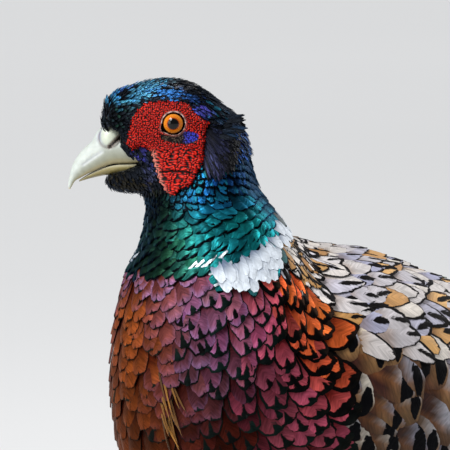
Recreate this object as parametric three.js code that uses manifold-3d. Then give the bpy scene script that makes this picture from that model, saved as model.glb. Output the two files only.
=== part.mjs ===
// A common pheasant cock, standing, with its head turned to its own right: a still, life-size model.
// Units are millimetres. +X is the way the body faces, +Y is its left and +Z is up, with the floor at Z = 0.
import * as THREE from "three";
import { mergeVertices } from "three/addons/utils/BufferGeometryUtils.js";
import Module from "manifold-3d";

const wasm = await Module();
wasm.setup();

// Driving sizes, in millimetres and degrees.
const GAP = 0.3; // between pieces that touch
const HEAD_TURN = 40; // to the bird's own right
const EYE_RADIUS = 6.3;
const EYE_PLACE = { x: 14.5, side: 13.2, z: 352 };
const LID_HEIGHT = 4.4; // of the lids' rim, outwards from the eye's middle
const WING_LENGTH = 242;
const TAIL_LENGTH = 450;
const SHANK_LENGTH = 71;
const MIDDLE_TOE = 46;
const FOOT_SPREAD = 37; // half the distance between the feet
const STRIDE = 7; // how far the left foot is ahead of the middle, and the right foot behind it
const SHEET_THICKNESS = 0.55; // of a feather's vane
const SHAFT_THICKNESS = 1; // of a feather along its middle

// The body is drawn as lines from the back to the belly, tail end first, with the head not yet turned.
// Each row holds the back's x and z, the belly's x and z, half the width, and how high the widest place is.
const STATIONS = [
  [-268, 201, -266, 165, 23, 0],
  [-247, 216, -249, 149, 33, 0],
  [-212, 238, -218, 129, 45, 0],
  [-170, 261, -172, 113, 54, -0.05],
  [-125, 279, -118, 106, 59.5, -0.05],
  [-88, 290, -64, 111, 61, 0],
  [-62, 295.5, -18, 129, 61, 0],
  [-48, 299, 17.5, 158, 59.5, 0],
  [-42, 301.5, 35, 197, 55.5, 0],
  [-39, 304, 39.8, 240, 48.5, 0],
  [-35.5, 307.5, 37.4, 274, 41, 0],
  [-31, 312.5, 31, 293, 34, 0],
  [-26.5, 319, 28.2, 306, 29.5, 0],
  [-23, 329, 28, 313.5, 26.5, 0],
  [-20.6, 338, 30, 318.3, 24, 0],
  [-17.6, 347.5, 36, 318.8, 21, 0.02],
  [-11.2, 355.2, 42, 320, 19, 0.05],
  [-1.8, 365, 45.3, 323, 17.6, 0.05],
  [9.8, 370.7, 46.6, 327, 16.3, 0.02],
  [22, 371.2, 47.2, 331, 14.6, 0],
  [33, 368.7, 47.6, 335, 12.2, 0],
  [41.5, 365.6, 47.8, 339, 9.4, 0],
  [46.4, 358.2, 48, 344.5, 6, 0],
];
const NECK_BASE = 10.4; // stations where the parts of the body are divided
const HEAD_BASE = 13.7;
const HEAD_FRONT = 22;
const TURN_FROM = 8.6; // stations between which the neck takes up the turn
const TURN_TO = 13;

const X = new THREE.Vector3(1, 0, 0);
const Y = new THREE.Vector3(0, 1, 0);
const Z = new THREE.Vector3(0, 0, 1);
const vec = (x, y, z) => new THREE.Vector3(x, y, z);
const radians = THREE.MathUtils.degToRad;
const mix = THREE.MathUtils.lerp;

// Solids and meshes

// A geometry from corner points and triangles, turned to face outwards.
function closedGeometry(points, triangles) {
  let volume = 0;
  for (const [i, j, k] of triangles) {
    volume += points[i].dot(vec(0, 0, 0).crossVectors(points[j], points[k]));
  }
  const faces = volume < 0 ? triangles.map(([i, j, k]) => [i, k, j]) : triangles;
  const geometry = new THREE.BufferGeometry().setFromPoints(points);
  geometry.setIndex(faces.flat());
  return geometry;
}

// Rings of as many points each, joined in order and closed at both ends.
function loft(rings) {
  const sides = rings[0].length;
  const last = rings.length - 1;
  const points = rings.flat();
  const middle = (ring) => ring.reduce((sum, p) => sum.add(p), vec(0, 0, 0)).divideScalar(sides);
  points.push(middle(rings[0]), middle(rings[last]));
  const triangles = [];
  for (let j = 0; j < sides; j++) {
    const k = (j + 1) % sides;
    for (let i = 0; i < last; i++) {
      const here = i * sides;
      const next = here + sides;
      triangles.push([here + j, next + j, next + k], [here + j, next + k, here + k]);
    }
    triangles.push([points.length - 2, j, k], [points.length - 1, last * sides + k, last * sides + j]);
  }
  return closedGeometry(points, triangles);
}

// A thin sheet between two grids of points, split into the same triangles on both faces.
function sheet(upper, lower) {
  const rows = upper.length;
  const columns = upper[0].length;
  const points = [...upper.flat(), ...lower.flat()];
  const top = (r, c) => r * columns + c;
  const under = (r, c) => rows * columns + top(r, c);
  const triangles = [];
  for (let r = 0; r < rows - 1; r++) {
    for (let c = 0; c < columns - 1; c++) {
      triangles.push([top(r, c), top(r + 1, c), top(r + 1, c + 1)]);
      triangles.push([top(r, c), top(r + 1, c + 1), top(r, c + 1)]);
      triangles.push([under(r, c), under(r + 1, c + 1), under(r + 1, c)]);
      triangles.push([under(r, c), under(r, c + 1), under(r + 1, c + 1)]);
    }
  }
  const edge = [];
  for (let r = 0; r < rows - 1; r++) edge.push([r, 0]);
  for (let c = 0; c < columns - 1; c++) edge.push([rows - 1, c]);
  for (let r = rows - 1; r > 0; r--) edge.push([r, columns - 1]);
  for (let c = columns - 1; c > 0; c--) edge.push([0, c]);
  edge.forEach((from, n) => {
    const to = edge[(n + 1) % edge.length];
    triangles.push([top(...from), under(...from), under(...to)], [top(...from), under(...to), top(...to)]);
  });
  return closedGeometry(points, triangles);
}

function solid(geometry) {
  const bare = geometry.clone();
  bare.deleteAttribute("normal");
  bare.deleteAttribute("uv");
  const merged = mergeVertices(bare, 1e-4);
  const vertProperties = merged.attributes.position.array;
  const triVerts = new Uint32Array(merged.index.array);
  return new wasm.Manifold(new wasm.Mesh({ numProp: 3, vertProperties, triVerts }));
}

const fuse = (pieces) => pieces.reduce((whole, piece) => whole.add(piece));

// The largest closed surface of a solid, as a geometry.
function geometryOf(made) {
  const [largest] = made.decompose().sort((a, b) => b.volume() - a.volume());
  const { vertProperties, triVerts } = largest.getMesh();
  const geometry = new THREE.BufferGeometry();
  geometry.setAttribute("position", new THREE.BufferAttribute(new Float32Array(vertProperties), 3));
  geometry.setIndex(new THREE.BufferAttribute(new Uint32Array(triVerts), 1));
  return geometry;
}

const MATERIALS = {
  body_feather: [0x9a4a2a, 0.6],
  neck_feather: [0x10554f, 0.4],
  head_feather: [0x14283c, 0.5],
  wing_feather: [0xb59a6c, 0.65],
  tail_feather: [0xa98557, 0.65],
  thigh_feather: [0x4a3526, 0.75],
  wattle_skin: [0xd21a12, 0.55],
  bill_horn: [0xe6e2d3, 0.4],
  eye_globe: [0xc8720e, 0.1],
  leg_scale: [0x8f8a7c, 0.6],
  claw_horn: [0x4b4036, 0.45],
};
for (const [name, [color, roughness]] of Object.entries(MATERIALS)) {
  MATERIALS[name] = new THREE.MeshStandardMaterial({ color, roughness, metalness: 0 });
}

function part(name, geometry, material, parent) {
  const mesh = new THREE.Mesh(geometry, material);
  mesh.name = name;
  parent.add(mesh);
  return mesh;
}

// A left piece, and its mirror image on the right.
function pair(name, geometry, material, parent) {
  part(`${name}_left`, geometry, material, parent);
  part(`${name}_right`, geometry, material, parent).scale.y = -1;
}

// Body

const stationCurve = (pick) => new THREE.CatmullRomCurve3(STATIONS.map(pick), false, "catmullrom", 0.5);
const backCurve = stationCurve(([x, z, , , half]) => vec(x, half, z));
const bellyCurve = stationCurve(([, , x, z, , widest]) => vec(x, widest, z));

// A point of the body at a station, at an angle from the back round by the left side, moved out by grow.
function bodyPoint(station, angle, grow = 0, turned = true) {
  const t = station / (STATIONS.length - 1);
  const back = backCurve.getPoint(t);
  const belly = bellyCurve.getPoint(t);
  const half = back.y + grow;
  const widest = belly.y;
  back.y = 0;
  belly.y = 0;
  const up = back.clone().sub(belly).divideScalar(2);
  up.setLength(up.length() + grow);
  const c = Math.cos(angle);
  const point = back.add(belly).divideScalar(2).addScaledVector(up, c + widest * (1 - c * c));
  point.y = half * Math.sin(angle);
  const share = THREE.MathUtils.smoothstep(station, TURN_FROM, TURN_TO);
  return turned ? point.applyAxisAngle(Z, -radians(HEAD_TURN) * share) : point;
}

// A length of the body as a closed loft. Its ends are moved out too where grow is given.
function bodyLength(from, to, rings, sides, { grow = 0, turned = true } = {}) {
  const made = [];
  for (let i = 0; i <= rings; i++) {
    const ring = [];
    for (let j = 0; j < sides; j++) {
      ring.push(bodyPoint(mix(from, to, i / rings), (2 * Math.PI * j) / sides, grow, turned));
    }
    made.push(ring);
  }
  return loft(made);
}

const BODY_RINGS = 19;
const BODY_SIDES = 26;
const HEAD_SIDES = 24;
const CUT = 0.03; // half the width of a thin cut, in stations
const torsoShape = bodyLength(0, NECK_BASE - CUT, BODY_RINGS, BODY_SIDES);
const torsoClearance = solid(bodyLength(0, NECK_BASE - CUT, BODY_RINGS, BODY_SIDES, { grow: GAP }));
const neckShape = bodyLength(NECK_BASE + CUT, HEAD_BASE - CUT, 8, BODY_SIDES);
const headShape = bodyLength(HEAD_BASE + CUT, HEAD_FRONT, 17, HEAD_SIDES, { turned: false });
const headClearance = solid(
  bodyLength(NECK_BASE + 1, HEAD_FRONT, 34, HEAD_SIDES, { grow: GAP + 0.1, turned: false }),
);

// Feathers

// How wide a vane is along its length, from 0 at the root to 1 at the tip, as a share of its full width.
function vaneBreadth(s, pointed) {
  const root = THREE.MathUtils.smoothstep(s, -0.25, 0.3);
  const tip = pointed ? 1 - 0.9 * s ** 1.7 : Math.sqrt(Math.max(0, 1 - Math.max(0, (s - 0.68) / 0.33) ** 2));
  return Math.max(root * tip, 0.12);
}

const LAYER = 1.1; // from one vane to the next that lies over it

// One vane. place turns a layout of a (along), b (across) and a height into a point in space.
function vane(place, spec) {
  const { a, b, length, width, lift } = spec;
  const { angle = 0, bend = 0, rise = 0, roll = 0, pointed = false, steps = 5 } = spec;
  const along = [Math.cos(radians(angle)), Math.sin(radians(angle))];
  const upper = [];
  const lower = [];
  for (let i = 0; i <= steps; i++) {
    const s = pointed ? i / steps : 1 - (1 - i / steps) ** 1.35;
    const half = (width / 2) * vaneBreadth(s, pointed);
    const heightAt = (across) => lift + rise * s + roll * across;
    const rowAt = (side) =>
      [-1, 0, 1].map((e) => {
        const across = e * half;
        const thickness = e ? SHEET_THICKNESS : mix(SHAFT_THICKNESS, SHEET_THICKNESS, s);
        return place(
          a + length * s * along[0] - across * along[1],
          b + length * s * along[1] + bend * s * s + across * along[0],
          heightAt(across) + (side * thickness) / 2,
        );
      });
    upper.push(rowAt(1));
    lower.push(rowAt(-1));
  }
  return solid(sheet(upper, lower));
}

// Wing, folded along the body

const WING_START = 6.8; // station of the wing's bend
const WING_TOP = radians(27); // where its upper edge lies, from the back
const WING_GIRTH = 66; // millimetres of layout to each radian round the body

// Stations against the distance back from the wing's bend, along the flank.
const flank = [{ station: WING_START, a: 0 }];
for (let n = 1; n <= 67; n++) {
  const station = WING_START - 0.1 * n;
  const before = flank[n - 1];
  const step = bodyPoint(station, 1.4).distanceTo(bodyPoint(before.station, 1.4));
  flank.push({ station, a: before.a + step });
}
function flankStation(a) {
  if (a <= 0) return WING_START - (a / flank[1].a) * 0.1;
  const n = flank.findIndex((entry) => entry.a >= a);
  const share = (a - flank[n - 1].a) / (flank[n].a - flank[n - 1].a);
  return mix(flank[n - 1].station, flank[n].station, share);
}

// A point of the wing's layout, a behind the bend and b below the upper edge, at a height over the body.
function onFlank(a, b, height) {
  const station = flankStation(a);
  const angle = WING_TOP + b / WING_GIRTH;
  const point = bodyPoint(station, angle);
  const ahead = bodyPoint(station + 0.02, angle).sub(point);
  const round = bodyPoint(station, angle + 0.02).sub(point);
  return point.addScaledVector(ahead.cross(round).normalize(), height);
}

// The fleshy arm with its small coverts, which the wing's vanes grow from.
function wingArm() {
  const length = 104;
  const depth = 74;
  const thickest = 8.5;
  const rows = 8;
  const columns = 6;
  const upper = [];
  const lower = [];
  for (let r = 0; r <= rows; r++) {
    const s = (2 * r) / rows - 1;
    const spread = Math.sqrt(1 - 0.93 * s * s);
    const at = (c) => [length * (0.5 + 0.5 * s) - 6, 41 + (depth / 2) * spread * ((2 * c) / columns - 1)];
    const crest = (c) => Math.sqrt(Math.max(0, 1 - ((2 * c) / columns - 1) ** 2));
    const cells = [...Array(columns + 1).keys()];
    upper.push(cells.map((c) => onFlank(...at(c), 1 + (thickest - 1) * crest(c) * spread)));
    lower.push(cells.map((c) => onFlank(...at(c), -2.5)));
  }
  return solid(sheet(upper, lower));
}

// The lowest and highest lines that vanes follow: b at the wing's bend, and b a wing's length behind it.
const PRIMARY_LINES = [[78, 43], [54, 20]];
const SECONDARY_LINES = [[73, 52], [18, 8]];

// A row of vanes laid like tiles: each one's lower edge lies over the next one down.
function wingTier({ count, lines, roots, lengths, width, lift, steps = 4 }) {
  const [lowest, highest] = lines;
  const spacing = (lowest[0] - highest[0]) / (count - 1);
  const roll = LAYER / spacing;
  const made = [];
  for (let n = 0; n < count; n++) {
    const s = n / (count - 1);
    const start = mix(lowest[0], highest[0], s);
    const slope = (mix(lowest[1], highest[1], s) - start) / WING_LENGTH;
    const a = mix(roots[0], roots[1], s);
    const length = mix(lengths[0], lengths[1], s) + 2 * Math.sin(2.4 * n);
    const angle = THREE.MathUtils.radToDeg(Math.atan(slope));
    made.push(vane(onFlank, { a, b: start + slope * a, length, width, angle, lift, roll, steps }));
  }
  return made;
}

function wingShape() {
  const primaries = wingTier({
    count: 5,
    lines: PRIMARY_LINES,
    roots: [80, 72],
    lengths: [WING_LENGTH - 104, WING_LENGTH - 74],
    width: 11,
    lift: 2.4,
    steps: 5,
  });
  const upperTiers = [
    { roots: [66, 54], lengths: [106, 128], width: 17.5 },
    { roots: [46, 36], lengths: [62, 70], width: 17 },
    { roots: [24, 14], lengths: [44, 50], width: 16.5 },
  ];
  const tiers = upperTiers.flatMap((tier, n) =>
    wingTier({ ...tier, count: 6, lines: SECONDARY_LINES, lift: 4.8 + 2 * LAYER * n }),
  );
  return fuse([wingArm(), ...primaries, ...tiers]).subtract(torsoClearance);
}

// Tail

const TAIL_ROOT = { x: -267.4, z: 182.5 };
const TAIL_SLOPE = [9, 15]; // degrees below level, at the root and at the tip
const TAIL_ARCH = 0.0042; // how fast its sides fall away, per millimetre squared

// A point of the tail's layout: a behind the root along its bend, b to the left, at a height above it.
function onTail(a, b, height) {
  const [start, end] = TAIL_SLOPE.map(radians);
  const turn = (end - start) / TAIL_LENGTH;
  const slope = start + turn * a;
  const x = TAIL_ROOT.x - (Math.sin(slope) - Math.sin(start)) / turn;
  const z = TAIL_ROOT.z + (Math.cos(slope) - Math.cos(start)) / turn;
  const over = height - TAIL_ARCH * b * b;
  return vec(x - over * Math.sin(slope), b, z + over * Math.cos(slope));
}

// The fleshy root of the tail, which meets the end of the torso.
function tailRoot() {
  const length = 46;
  const rings = [];
  for (let i = 0; i <= 5; i++) {
    const s = i / 5;
    const shrink = Math.sqrt(1 - 0.9 * s * s);
    const ring = [];
    for (let j = 0; j < 16; j++) {
      const angle = (2 * Math.PI * j) / 16;
      const across = 22 * shrink * Math.sin(angle);
      ring.push(onTail(0.7 + length * s, across, -1 + 15.5 * shrink * Math.cos(angle)));
    }
    rings.push(ring);
  }
  return solid(loft(rings));
}

function tailShape() {
  const lengths = [450, 412, 366, 318, 272, 230, 194, 165, 144];
  const vanes = [];
  lengths.forEach((length, n) => {
    for (const side of [-1, 1]) {
      const crossing = Math.min(n, 3); // the inner feathers cross the middle, so left and right lie in turn
      const level = 2 * crossing + (n < 3 && side < 0 ? 1 : 0) + (n - crossing);
      vanes.push(
        vane(onTail, {
          a: 22 - n,
          b: side * (3.2 + 1.35 * n),
          length: length - 22,
          width: n ? 21 : 27,
          angle: side * (0.15 + 0.95 * n),
          lift: 5 - LAYER * level,
          pointed: true,
          steps: n < 4 ? 6 : 4,
        }),
      );
    }
  });
  const upperCoverts = [[0, 96], [-1, 84], [1, 74], [-2, 60], [2, 54]];
  upperCoverts.forEach(([place, length], n) => {
    const b = 5.5 * place;
    const lift = 6.4 + LAYER * n;
    vanes.push(vane(onTail, { a: 9, b, length, width: 19, angle: 0.3 * b, lift, steps: 4 }));
  });
  const lowerCoverts = [[0, -10.6], [-11, -12.2], [11, -12.2]];
  lowerCoverts.forEach(([b, lift]) => {
    vanes.push(vane(onTail, { a: 10, b, length: 74, width: 17, angle: b / 8, lift, steps: 4 }));
  });
  return fuse([tailRoot(), ...vanes]).subtract(torsoClearance);
}

// Legs

// A tube through points that each give a place and a half width and depth.
function tube(points, sides, across) {
  const rings = points.map(({ at, wide, deep = wide }, i) => {
    const before = points[Math.max(i - 1, 0)].at;
    const after = points[Math.min(i + 1, points.length - 1)].at;
    const along = after.clone().sub(before).normalize();
    const side = along.clone().cross(across).normalize();
    const front = side.clone().cross(along);
    return [...Array(sides).keys()].map((j) => {
      const angle = (2 * Math.PI * (j + 0.5)) / sides;
      return at
        .clone()
        .addScaledVector(side, wide * Math.sin(angle))
        .addScaledVector(front, deep * Math.cos(angle));
    });
  });
  return loft(rings);
}

const SCUTES = 9;
const CLAW_LENGTH = 11;
const TOES = [
  { name: "middle", angle: 2, length: MIDDLE_TOE, joints: 3 },
  { name: "inner", angle: -30, length: 33, joints: 2 },
  { name: "outer", angle: 31, length: 36, joints: 4 },
  { name: "hind", angle: 176, length: 15, joints: 1 },
];

// A toe from the foot's middle, pressed flat where it meets the floor.
function toe(foot, heading, { length, joints, name }) {
  const startHeight = name === "hind" ? 11 : 8;
  const steps = name === "hind" ? 4 : 8;
  const points = [];
  for (let i = 0; i <= steps; i++) {
    const s = i / steps;
    const swell = 0.5 * Math.abs(Math.sin(Math.PI * joints * s));
    const drop = THREE.MathUtils.smoothstep(s, 0, name === "hind" ? 0.7 : 0.3);
    const wide = mix(4.4, 2.6, s) + swell;
    const at = foot.clone().addScaledVector(heading, length * s);
    at.z = mix(startHeight, mix(3.2, 2, s), drop);
    points.push({ at, wide, deep: wide * 0.92 });
  }
  const made = tube(points, 8, Z);
  const heights = made.attributes.position;
  for (let i = 0; i < heights.count; i++) {
    heights.setZ(i, Math.max(heights.getZ(i), 0));
  }
  return solid(made);
}

function claw(root, heading, length, radius, drop) {
  const points = [];
  for (let i = 0; i <= 4; i++) {
    const s = i / 4;
    const at = root.clone().addScaledVector(heading, length * s);
    at.z += -drop * s * s;
    points.push({ at, wide: radius * (1 - 0.82 * s), deep: radius * 1.05 * (1 - 0.82 * s) });
  }
  return tube(points, 7, Z);
}

function addLeg(sideName, side, stride, parent) {
  const y = side * FOOT_SPREAD;
  const foot = vec(-112 + stride, y, 9);
  const heel = vec(foot.x - 22, y * 1.02, foot.z + Math.sqrt(SHANK_LENGTH ** 2 - 22 ** 2));
  const hip = vec(-84 + stride * 0.4, y * 0.9, 158);
  const up = heel.clone().sub(foot).normalize();
  const shin = hip.clone().sub(heel).normalize();
  const along = (s) => foot.clone().addScaledVector(up, s);
  const collar = 9; // from the foot's middle to where the shank begins
  const name = (piece) => `${piece}_${sideName}`;

  const shankPoints = (grow) => {
    const points = [];
    const start = collar + GAP;
    const end = SHANK_LENGTH - 9;
    for (let n = 0; n < SCUTES; n++) {
      const waist = 0.7 * Math.sin((Math.PI * (n + 0.5)) / SCUTES);
      const wide = 4.5 - waist + grow;
      const from = mix(start, end, n / SCUTES);
      const to = mix(start, end, (n + 1) / SCUTES) - 0.5;
      points.push({ at: along(from), wide, deep: wide + 0.6 });
      points.push({ at: along(to), wide: wide + 0.15, deep: wide + 1.0 });
    }
    points.push({ at: along(SHANK_LENGTH - 5), wide: 5.2 + grow, deep: 6.2 + grow });
    points.push({ at: heel.clone(), wide: 5.8 + grow, deep: 6.6 + grow });
    points.push({ at: heel.clone().addScaledVector(shin, 4.5), wide: 5.4 + grow, deep: 5.8 + grow });
    points.push({ at: heel.clone().addScaledVector(shin, 8), wide: 4.8 + grow, deep: 5 + grow });
    return points;
  };
  part(name("shank"), tube(shankPoints(0), 8, X), MATERIALS.leg_scale, parent);
  const shankClearance = solid(tube(shankPoints(GAP), 8, X));

  const thighLength = hip.distanceTo(heel);
  const thighPoints = [
    [8 + GAP, 7.2, 7.6],
    [13, 9.5, 10.5],
    [20, 12, 14.5],
    [30, 15, 19.5],
    [44, 17.5, 25],
    [60, 18.5, 28],
    [thighLength, 15, 22],
  ].map(([s, wide, deep]) => ({ at: heel.clone().addScaledVector(shin, s), wide, deep }));
  const thigh = solid(tube(thighPoints, 16, X)).subtract(torsoClearance);
  part(name("thigh"), geometryOf(thigh), MATERIALS.thigh_feather, parent);

  const knob = tube(
    [
      { at: along(-4), wide: 4.2, deep: 5 },
      { at: along(1), wide: 5.4, deep: 6.4 },
      { at: along(6), wide: 4.9, deep: 5.6 },
      { at: along(collar), wide: 4.4, deep: 5 },
    ],
    8,
    X,
  );
  const toes = TOES.map((spec) => {
    const turn = radians(side * spec.angle);
    const heading = vec(Math.cos(turn), Math.sin(turn), 0);
    const nail = spec.name === "hind" ? 0.65 : 1;
    const root = foot.clone().addScaledVector(heading, spec.length + GAP);
    root.z = 2.2;
    const nailShape = claw(root, heading, CLAW_LENGTH * nail, 1.95 * Math.sqrt(nail), 1.5);
    part(`claw_${spec.name}_${sideName}`, nailShape, MATERIALS.claw_horn, parent);
    return toe(foot, heading, spec);
  });
  part(name("foot"), geometryOf(fuse([solid(knob), ...toes])), MATERIALS.leg_scale, parent);

  const inward = vec(-0.86, -side * 0.48, 0.16).normalize();
  const spur = solid(claw(along(26), inward, 15, 3, -2.5)).subtract(shankClearance);
  part(name("spur"), geometryOf(spur), MATERIALS.claw_horn, parent);
}

// Bill

// Each row holds the x and z of the ridge or keel, the x and z of the cutting edge, and half the width.
const UPPER_BILL = [
  [37.5, 345, 30.5, 333.4, 9.4],
  [41.5, 347.6, 34, 332.9, 8.4],
  [46.5, 348.9, 38.5, 332.7, 7.4],
  [49.6, 346.8, 42.5, 332.3, 6.6],
  [52, 342.4, 46.8, 330.9, 5.7],
  [55, 339.8, 50.2, 329.3, 4.9],
  [58.2, 336, 53.8, 327.6, 4],
  [60.8, 331.6, 57, 325.8, 3.1],
  [62.2, 326.6, 59.6, 324.2, 2.2],
  [62.9, 322.6, 61.2, 321.6, 1.2],
  [62.7, 320.3, 62, 320.1, 0.45],
];
const LOWER_BILL = [
  [33, 327.4, 31.5, 332.5, 8.2],
  [36.4, 327, 36, 332.2, 7.4],
  [40.7, 326.9, 40.5, 331.9, 6.5],
  [45, 326.7, 45, 330.9, 5.4],
  [49, 326, 49.2, 329.1, 4.4],
  [52.8, 325.1, 53, 327.2, 3.4],
  [55.9, 324.2, 56, 325.4, 2.4],
  [57.8, 323.6, 57.8, 324.2, 1.5],
];

// One half of the bill. Each ring arches from edge to edge over the ridge, and is hollow on its other side.
function mandible(rows) {
  const arch = 9;
  const hollow = 0.15;
  const rings = rows.map(([ridgeX, ridgeZ, edgeX, edgeZ, half]) => {
    const ridge = vec(ridgeX, 0, ridgeZ);
    const edge = vec(edgeX, 0, edgeZ);
    const up = ridge.clone().sub(edge);
    const reach = up.length();
    up.normalize();
    const ring = [];
    for (let i = 0; i <= arch; i++) {
      const angle = (Math.PI * i) / arch;
      const point = edge.clone().addScaledVector(up, Math.sin(angle) ** 0.85 * reach);
      point.y = half * Math.cos(angle);
      ring.push(point);
    }
    ring.push(edge.clone().addScaledVector(up, hollow * reach));
    return ring;
  });
  return solid(loft(rings));
}


const NOSTRIL = { x: 42.2, z: 341.2, slope: -36 };
// The swollen flap over each nostril, with the slit below it.
function nostrilFlap(side) {
  const flap = new THREE.SphereGeometry(1, 12, 8);
  flap.scale(5, 2.2, 3.9);
  flap.rotateY(radians(-NOSTRIL.slope + 82));
  return solid(flap.translate(NOSTRIL.x + 1.2, side * 6.3, NOSTRIL.z + 2.6));
}
function nostrilSlit(side) {
  const slit = new THREE.BoxGeometry(7.4, 3, 1.1);
  slit.rotateY(radians(-NOSTRIL.slope));
  return solid(slit.translate(NOSTRIL.x, side * 8.1, NOSTRIL.z));
}

// The line where the feathers of the face end round the bill, closed by a loop in front of the bill.
const FEATHER_LINE = [
  [47.5, 350.2],
  [42.6, 348],
  [39.6, 345],
  [38.6, 341],
  [35.4, 336.4],
  [29.4, 333.7],
  [29.6, 332.4],
  [36, 329.6],
  [44.6, 327.3],
  [75, 314],
  [75, 352],
];

// All that lies in front of the feather line, drawn in from it by a margin.
function billSpace(margin) {
  const corners = FEATHER_LINE.map(([x, z]) => new THREE.Vector2(x, z));
  const count = corners.length;
  const inward = (from, to) => {
    const along = to.clone().sub(from).normalize();
    return new THREE.Vector2(-along.y, along.x);
  };
  const drawnIn = corners.map((corner, n) => {
    const before = inward(corners[(n + count - 1) % count], corner);
    const after = inward(corner, corners[(n + 1) % count]);
    return corner.clone().addScaledVector(before.clone().add(after), margin / (1 + before.dot(after)));
  });
  const block = new THREE.ExtrudeGeometry(new THREE.Shape(drawnIn), { depth: 60, bevelEnabled: false });
  return solid(block.translate(0, 0, -30).rotateX(Math.PI / 2));
}

function upperBillShape() {
  const sides = [-1, 1];
  const shaped = fuse([mandible(UPPER_BILL), ...sides.map(nostrilFlap)]);
  return sides.reduce((made, side) => made.subtract(nostrilSlit(side)), shaped).intersect(billSpace(GAP));
}

// Head

const headTarget = new THREE.Mesh(
  bodyLength(NECK_BASE + 1, HEAD_FRONT, 34, HEAD_SIDES, { turned: false }),
  new THREE.MeshBasicMaterial({ side: THREE.DoubleSide }),
);
headTarget.updateMatrixWorld(true);
const ray = new THREE.Raycaster();
// How far out the left of the head is, at a place seen from the side.
function headSide(x, z) {
  ray.set(vec(x, 80, z), Y.clone().negate());
  const [hit] = ray.intersectObject(headTarget);
  return hit ? hit.point.y : 0;
}

// The red skin round the eye: rows from the brow down to the lappet, each with z and the x of both edges.
const WATTLE_ROWS = [
  [362.2, 11, 19],
  [360.9, 8.5, 25],
  [359.2, 6, 29],
  [356.9, 3.5, 32],
  [354, 0, 34.5],
  [351, -2.6, 35.2],
  [348.1, -0.8, 35.6],
  [345.2, -0.3, 35.8],
  [342.2, 0, 34.6],
  [339.5, 0.2, 27],
  [336.7, 0.4, 25.4],
  [333.7, 0.7, 24.6],
  [330.7, 1.6, 23.6],
  [327.7, 3.2, 22.4],
  [324.7, 6, 21],
  [322, 9.4, 19],
  [319.9, 12.6, 17],
];

function wattleShape() {
  const columns = 8;
  const bulb = 0.75;
  const upper = [];
  const lower = [];
  WATTLE_ROWS.forEach(([z, rear, front], r) => {
    const rim = Math.min(r, WATTLE_ROWS.length - 1 - r);
    const grid = [...Array(columns + 1).keys()].map((c) => {
      const edge = Math.min(c, columns - c, rim);
      const x = mix(rear, front, c / columns);
      const sag = edge ? 0.55 * Math.sin((Math.PI * c) / columns) : 0;
      const fold = edge && (r + c) % 2 ? bulb : 0;
      const proud = 0.9 + (edge ? 0.5 : 0) + fold;
      return { x, z: z - sag, proud };
    });
    upper.push(grid.map((g) => vec(g.x, headSide(g.x, g.z) + g.proud, g.z)));
    lower.push(grid.map((g) => vec(g.x, headSide(g.x, g.z) - 2, g.z)));
  });
  return solid(sheet(upper, lower));
}

function eyeball(radius, side = 1) {
  const ball = new THREE.SphereGeometry(radius, 14, 10).rotateX(Math.PI / 2);
  return ball.translate(EYE_PLACE.x, side * EYE_PLACE.side, EYE_PLACE.z);
}

// The thickened rim of the lids, and the round opening inside it.
const LID_RIM = { radius: 5.55, thickness: 0.95 };
function lidRim() {
  const ring = new THREE.TorusGeometry(LID_RIM.radius, LID_RIM.thickness, 7, 20);
  ring.scale(1.05, 1, 1).rotateX(Math.PI / 2);
  return solid(ring.translate(EYE_PLACE.x, EYE_PLACE.side + LID_HEIGHT, EYE_PLACE.z));
}
function lidOpening() {
  const hole = new THREE.CylinderGeometry(LID_RIM.radius - 0.2, LID_RIM.radius - 0.2, 20, 18);
  return solid(hole.translate(EYE_PLACE.x, EYE_PLACE.side + LID_HEIGHT, EYE_PLACE.z));
}

// The ear tufts: small stiff feathers that stand back from the rear of the crown.
function earTuft(side) {
  const back = vec(-0.94, side * 0.12, -0.3).normalize();
  const out = vec(-0.3, side * 0.8, 0.52).normalize();
  const across = out.clone().cross(back).normalize();
  const normal = back.clone().cross(across).normalize();
  const root = vec(-3, side * 10, 351.4);
  const place = (a, b, height) =>
    root
      .clone()
      .addScaledVector(back, a)
      .addScaledVector(across, b)
      .addScaledVector(normal, height * Math.sign(normal.dot(out)));
  return [0, 1, 2, 3].map((n) =>
    vane(place, {
      a: -3,
      b: 2.2 * (n - 1.5),
      length: 15.5 + 2 * Math.sin(2.1 * n + 0.6),
      width: 4.6,
      angle: 6 * (n - 1.5),
      lift: 0.2 + 1.15 * (n % 2),
      bend: 0.6 * (n - 1.5),
      steps: 3,
    }),
  );
}

// Assembly

const bird = new THREE.Group();
part("torso", torsoShape, MATERIALS.body_feather, bird);
part("neck", neckShape, MATERIALS.neck_feather, bird);
pair("wing", geometryOf(wingShape()), MATERIALS.wing_feather, bird);
part("tail", geometryOf(tailShape()), MATERIALS.tail_feather, bird);
addLeg("left", 1, STRIDE, bird);
addLeg("right", -1, -STRIDE, bird);

const headGroup = new THREE.Group();
headGroup.rotation.z = -radians(HEAD_TURN);
bird.add(headGroup);
const socket = (side) => solid(eyeball(EYE_RADIUS + GAP + 0.05, side));
const tufted = fuse([solid(headShape), ...earTuft(1), ...earTuft(-1)]);
const head = tufted.subtract(socket(1)).subtract(socket(-1)).subtract(billSpace(0));
part("head", geometryOf(head), MATERIALS.head_feather, headGroup);
part("bill_upper", geometryOf(upperBillShape()), MATERIALS.bill_horn, headGroup);
const lowerBill = mandible(LOWER_BILL).intersect(billSpace(GAP));
part("bill_lower", geometryOf(lowerBill), MATERIALS.bill_horn, headGroup);
pair("eye", eyeball(EYE_RADIUS), MATERIALS.eye_globe, headGroup);
const openWattle = wattleShape().subtract(lidOpening());
const wattle = fuse([openWattle, lidRim()]).subtract(headClearance).subtract(socket(1));
pair("wattle", geometryOf(wattle), MATERIALS.wattle_skin, headGroup);

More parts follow.
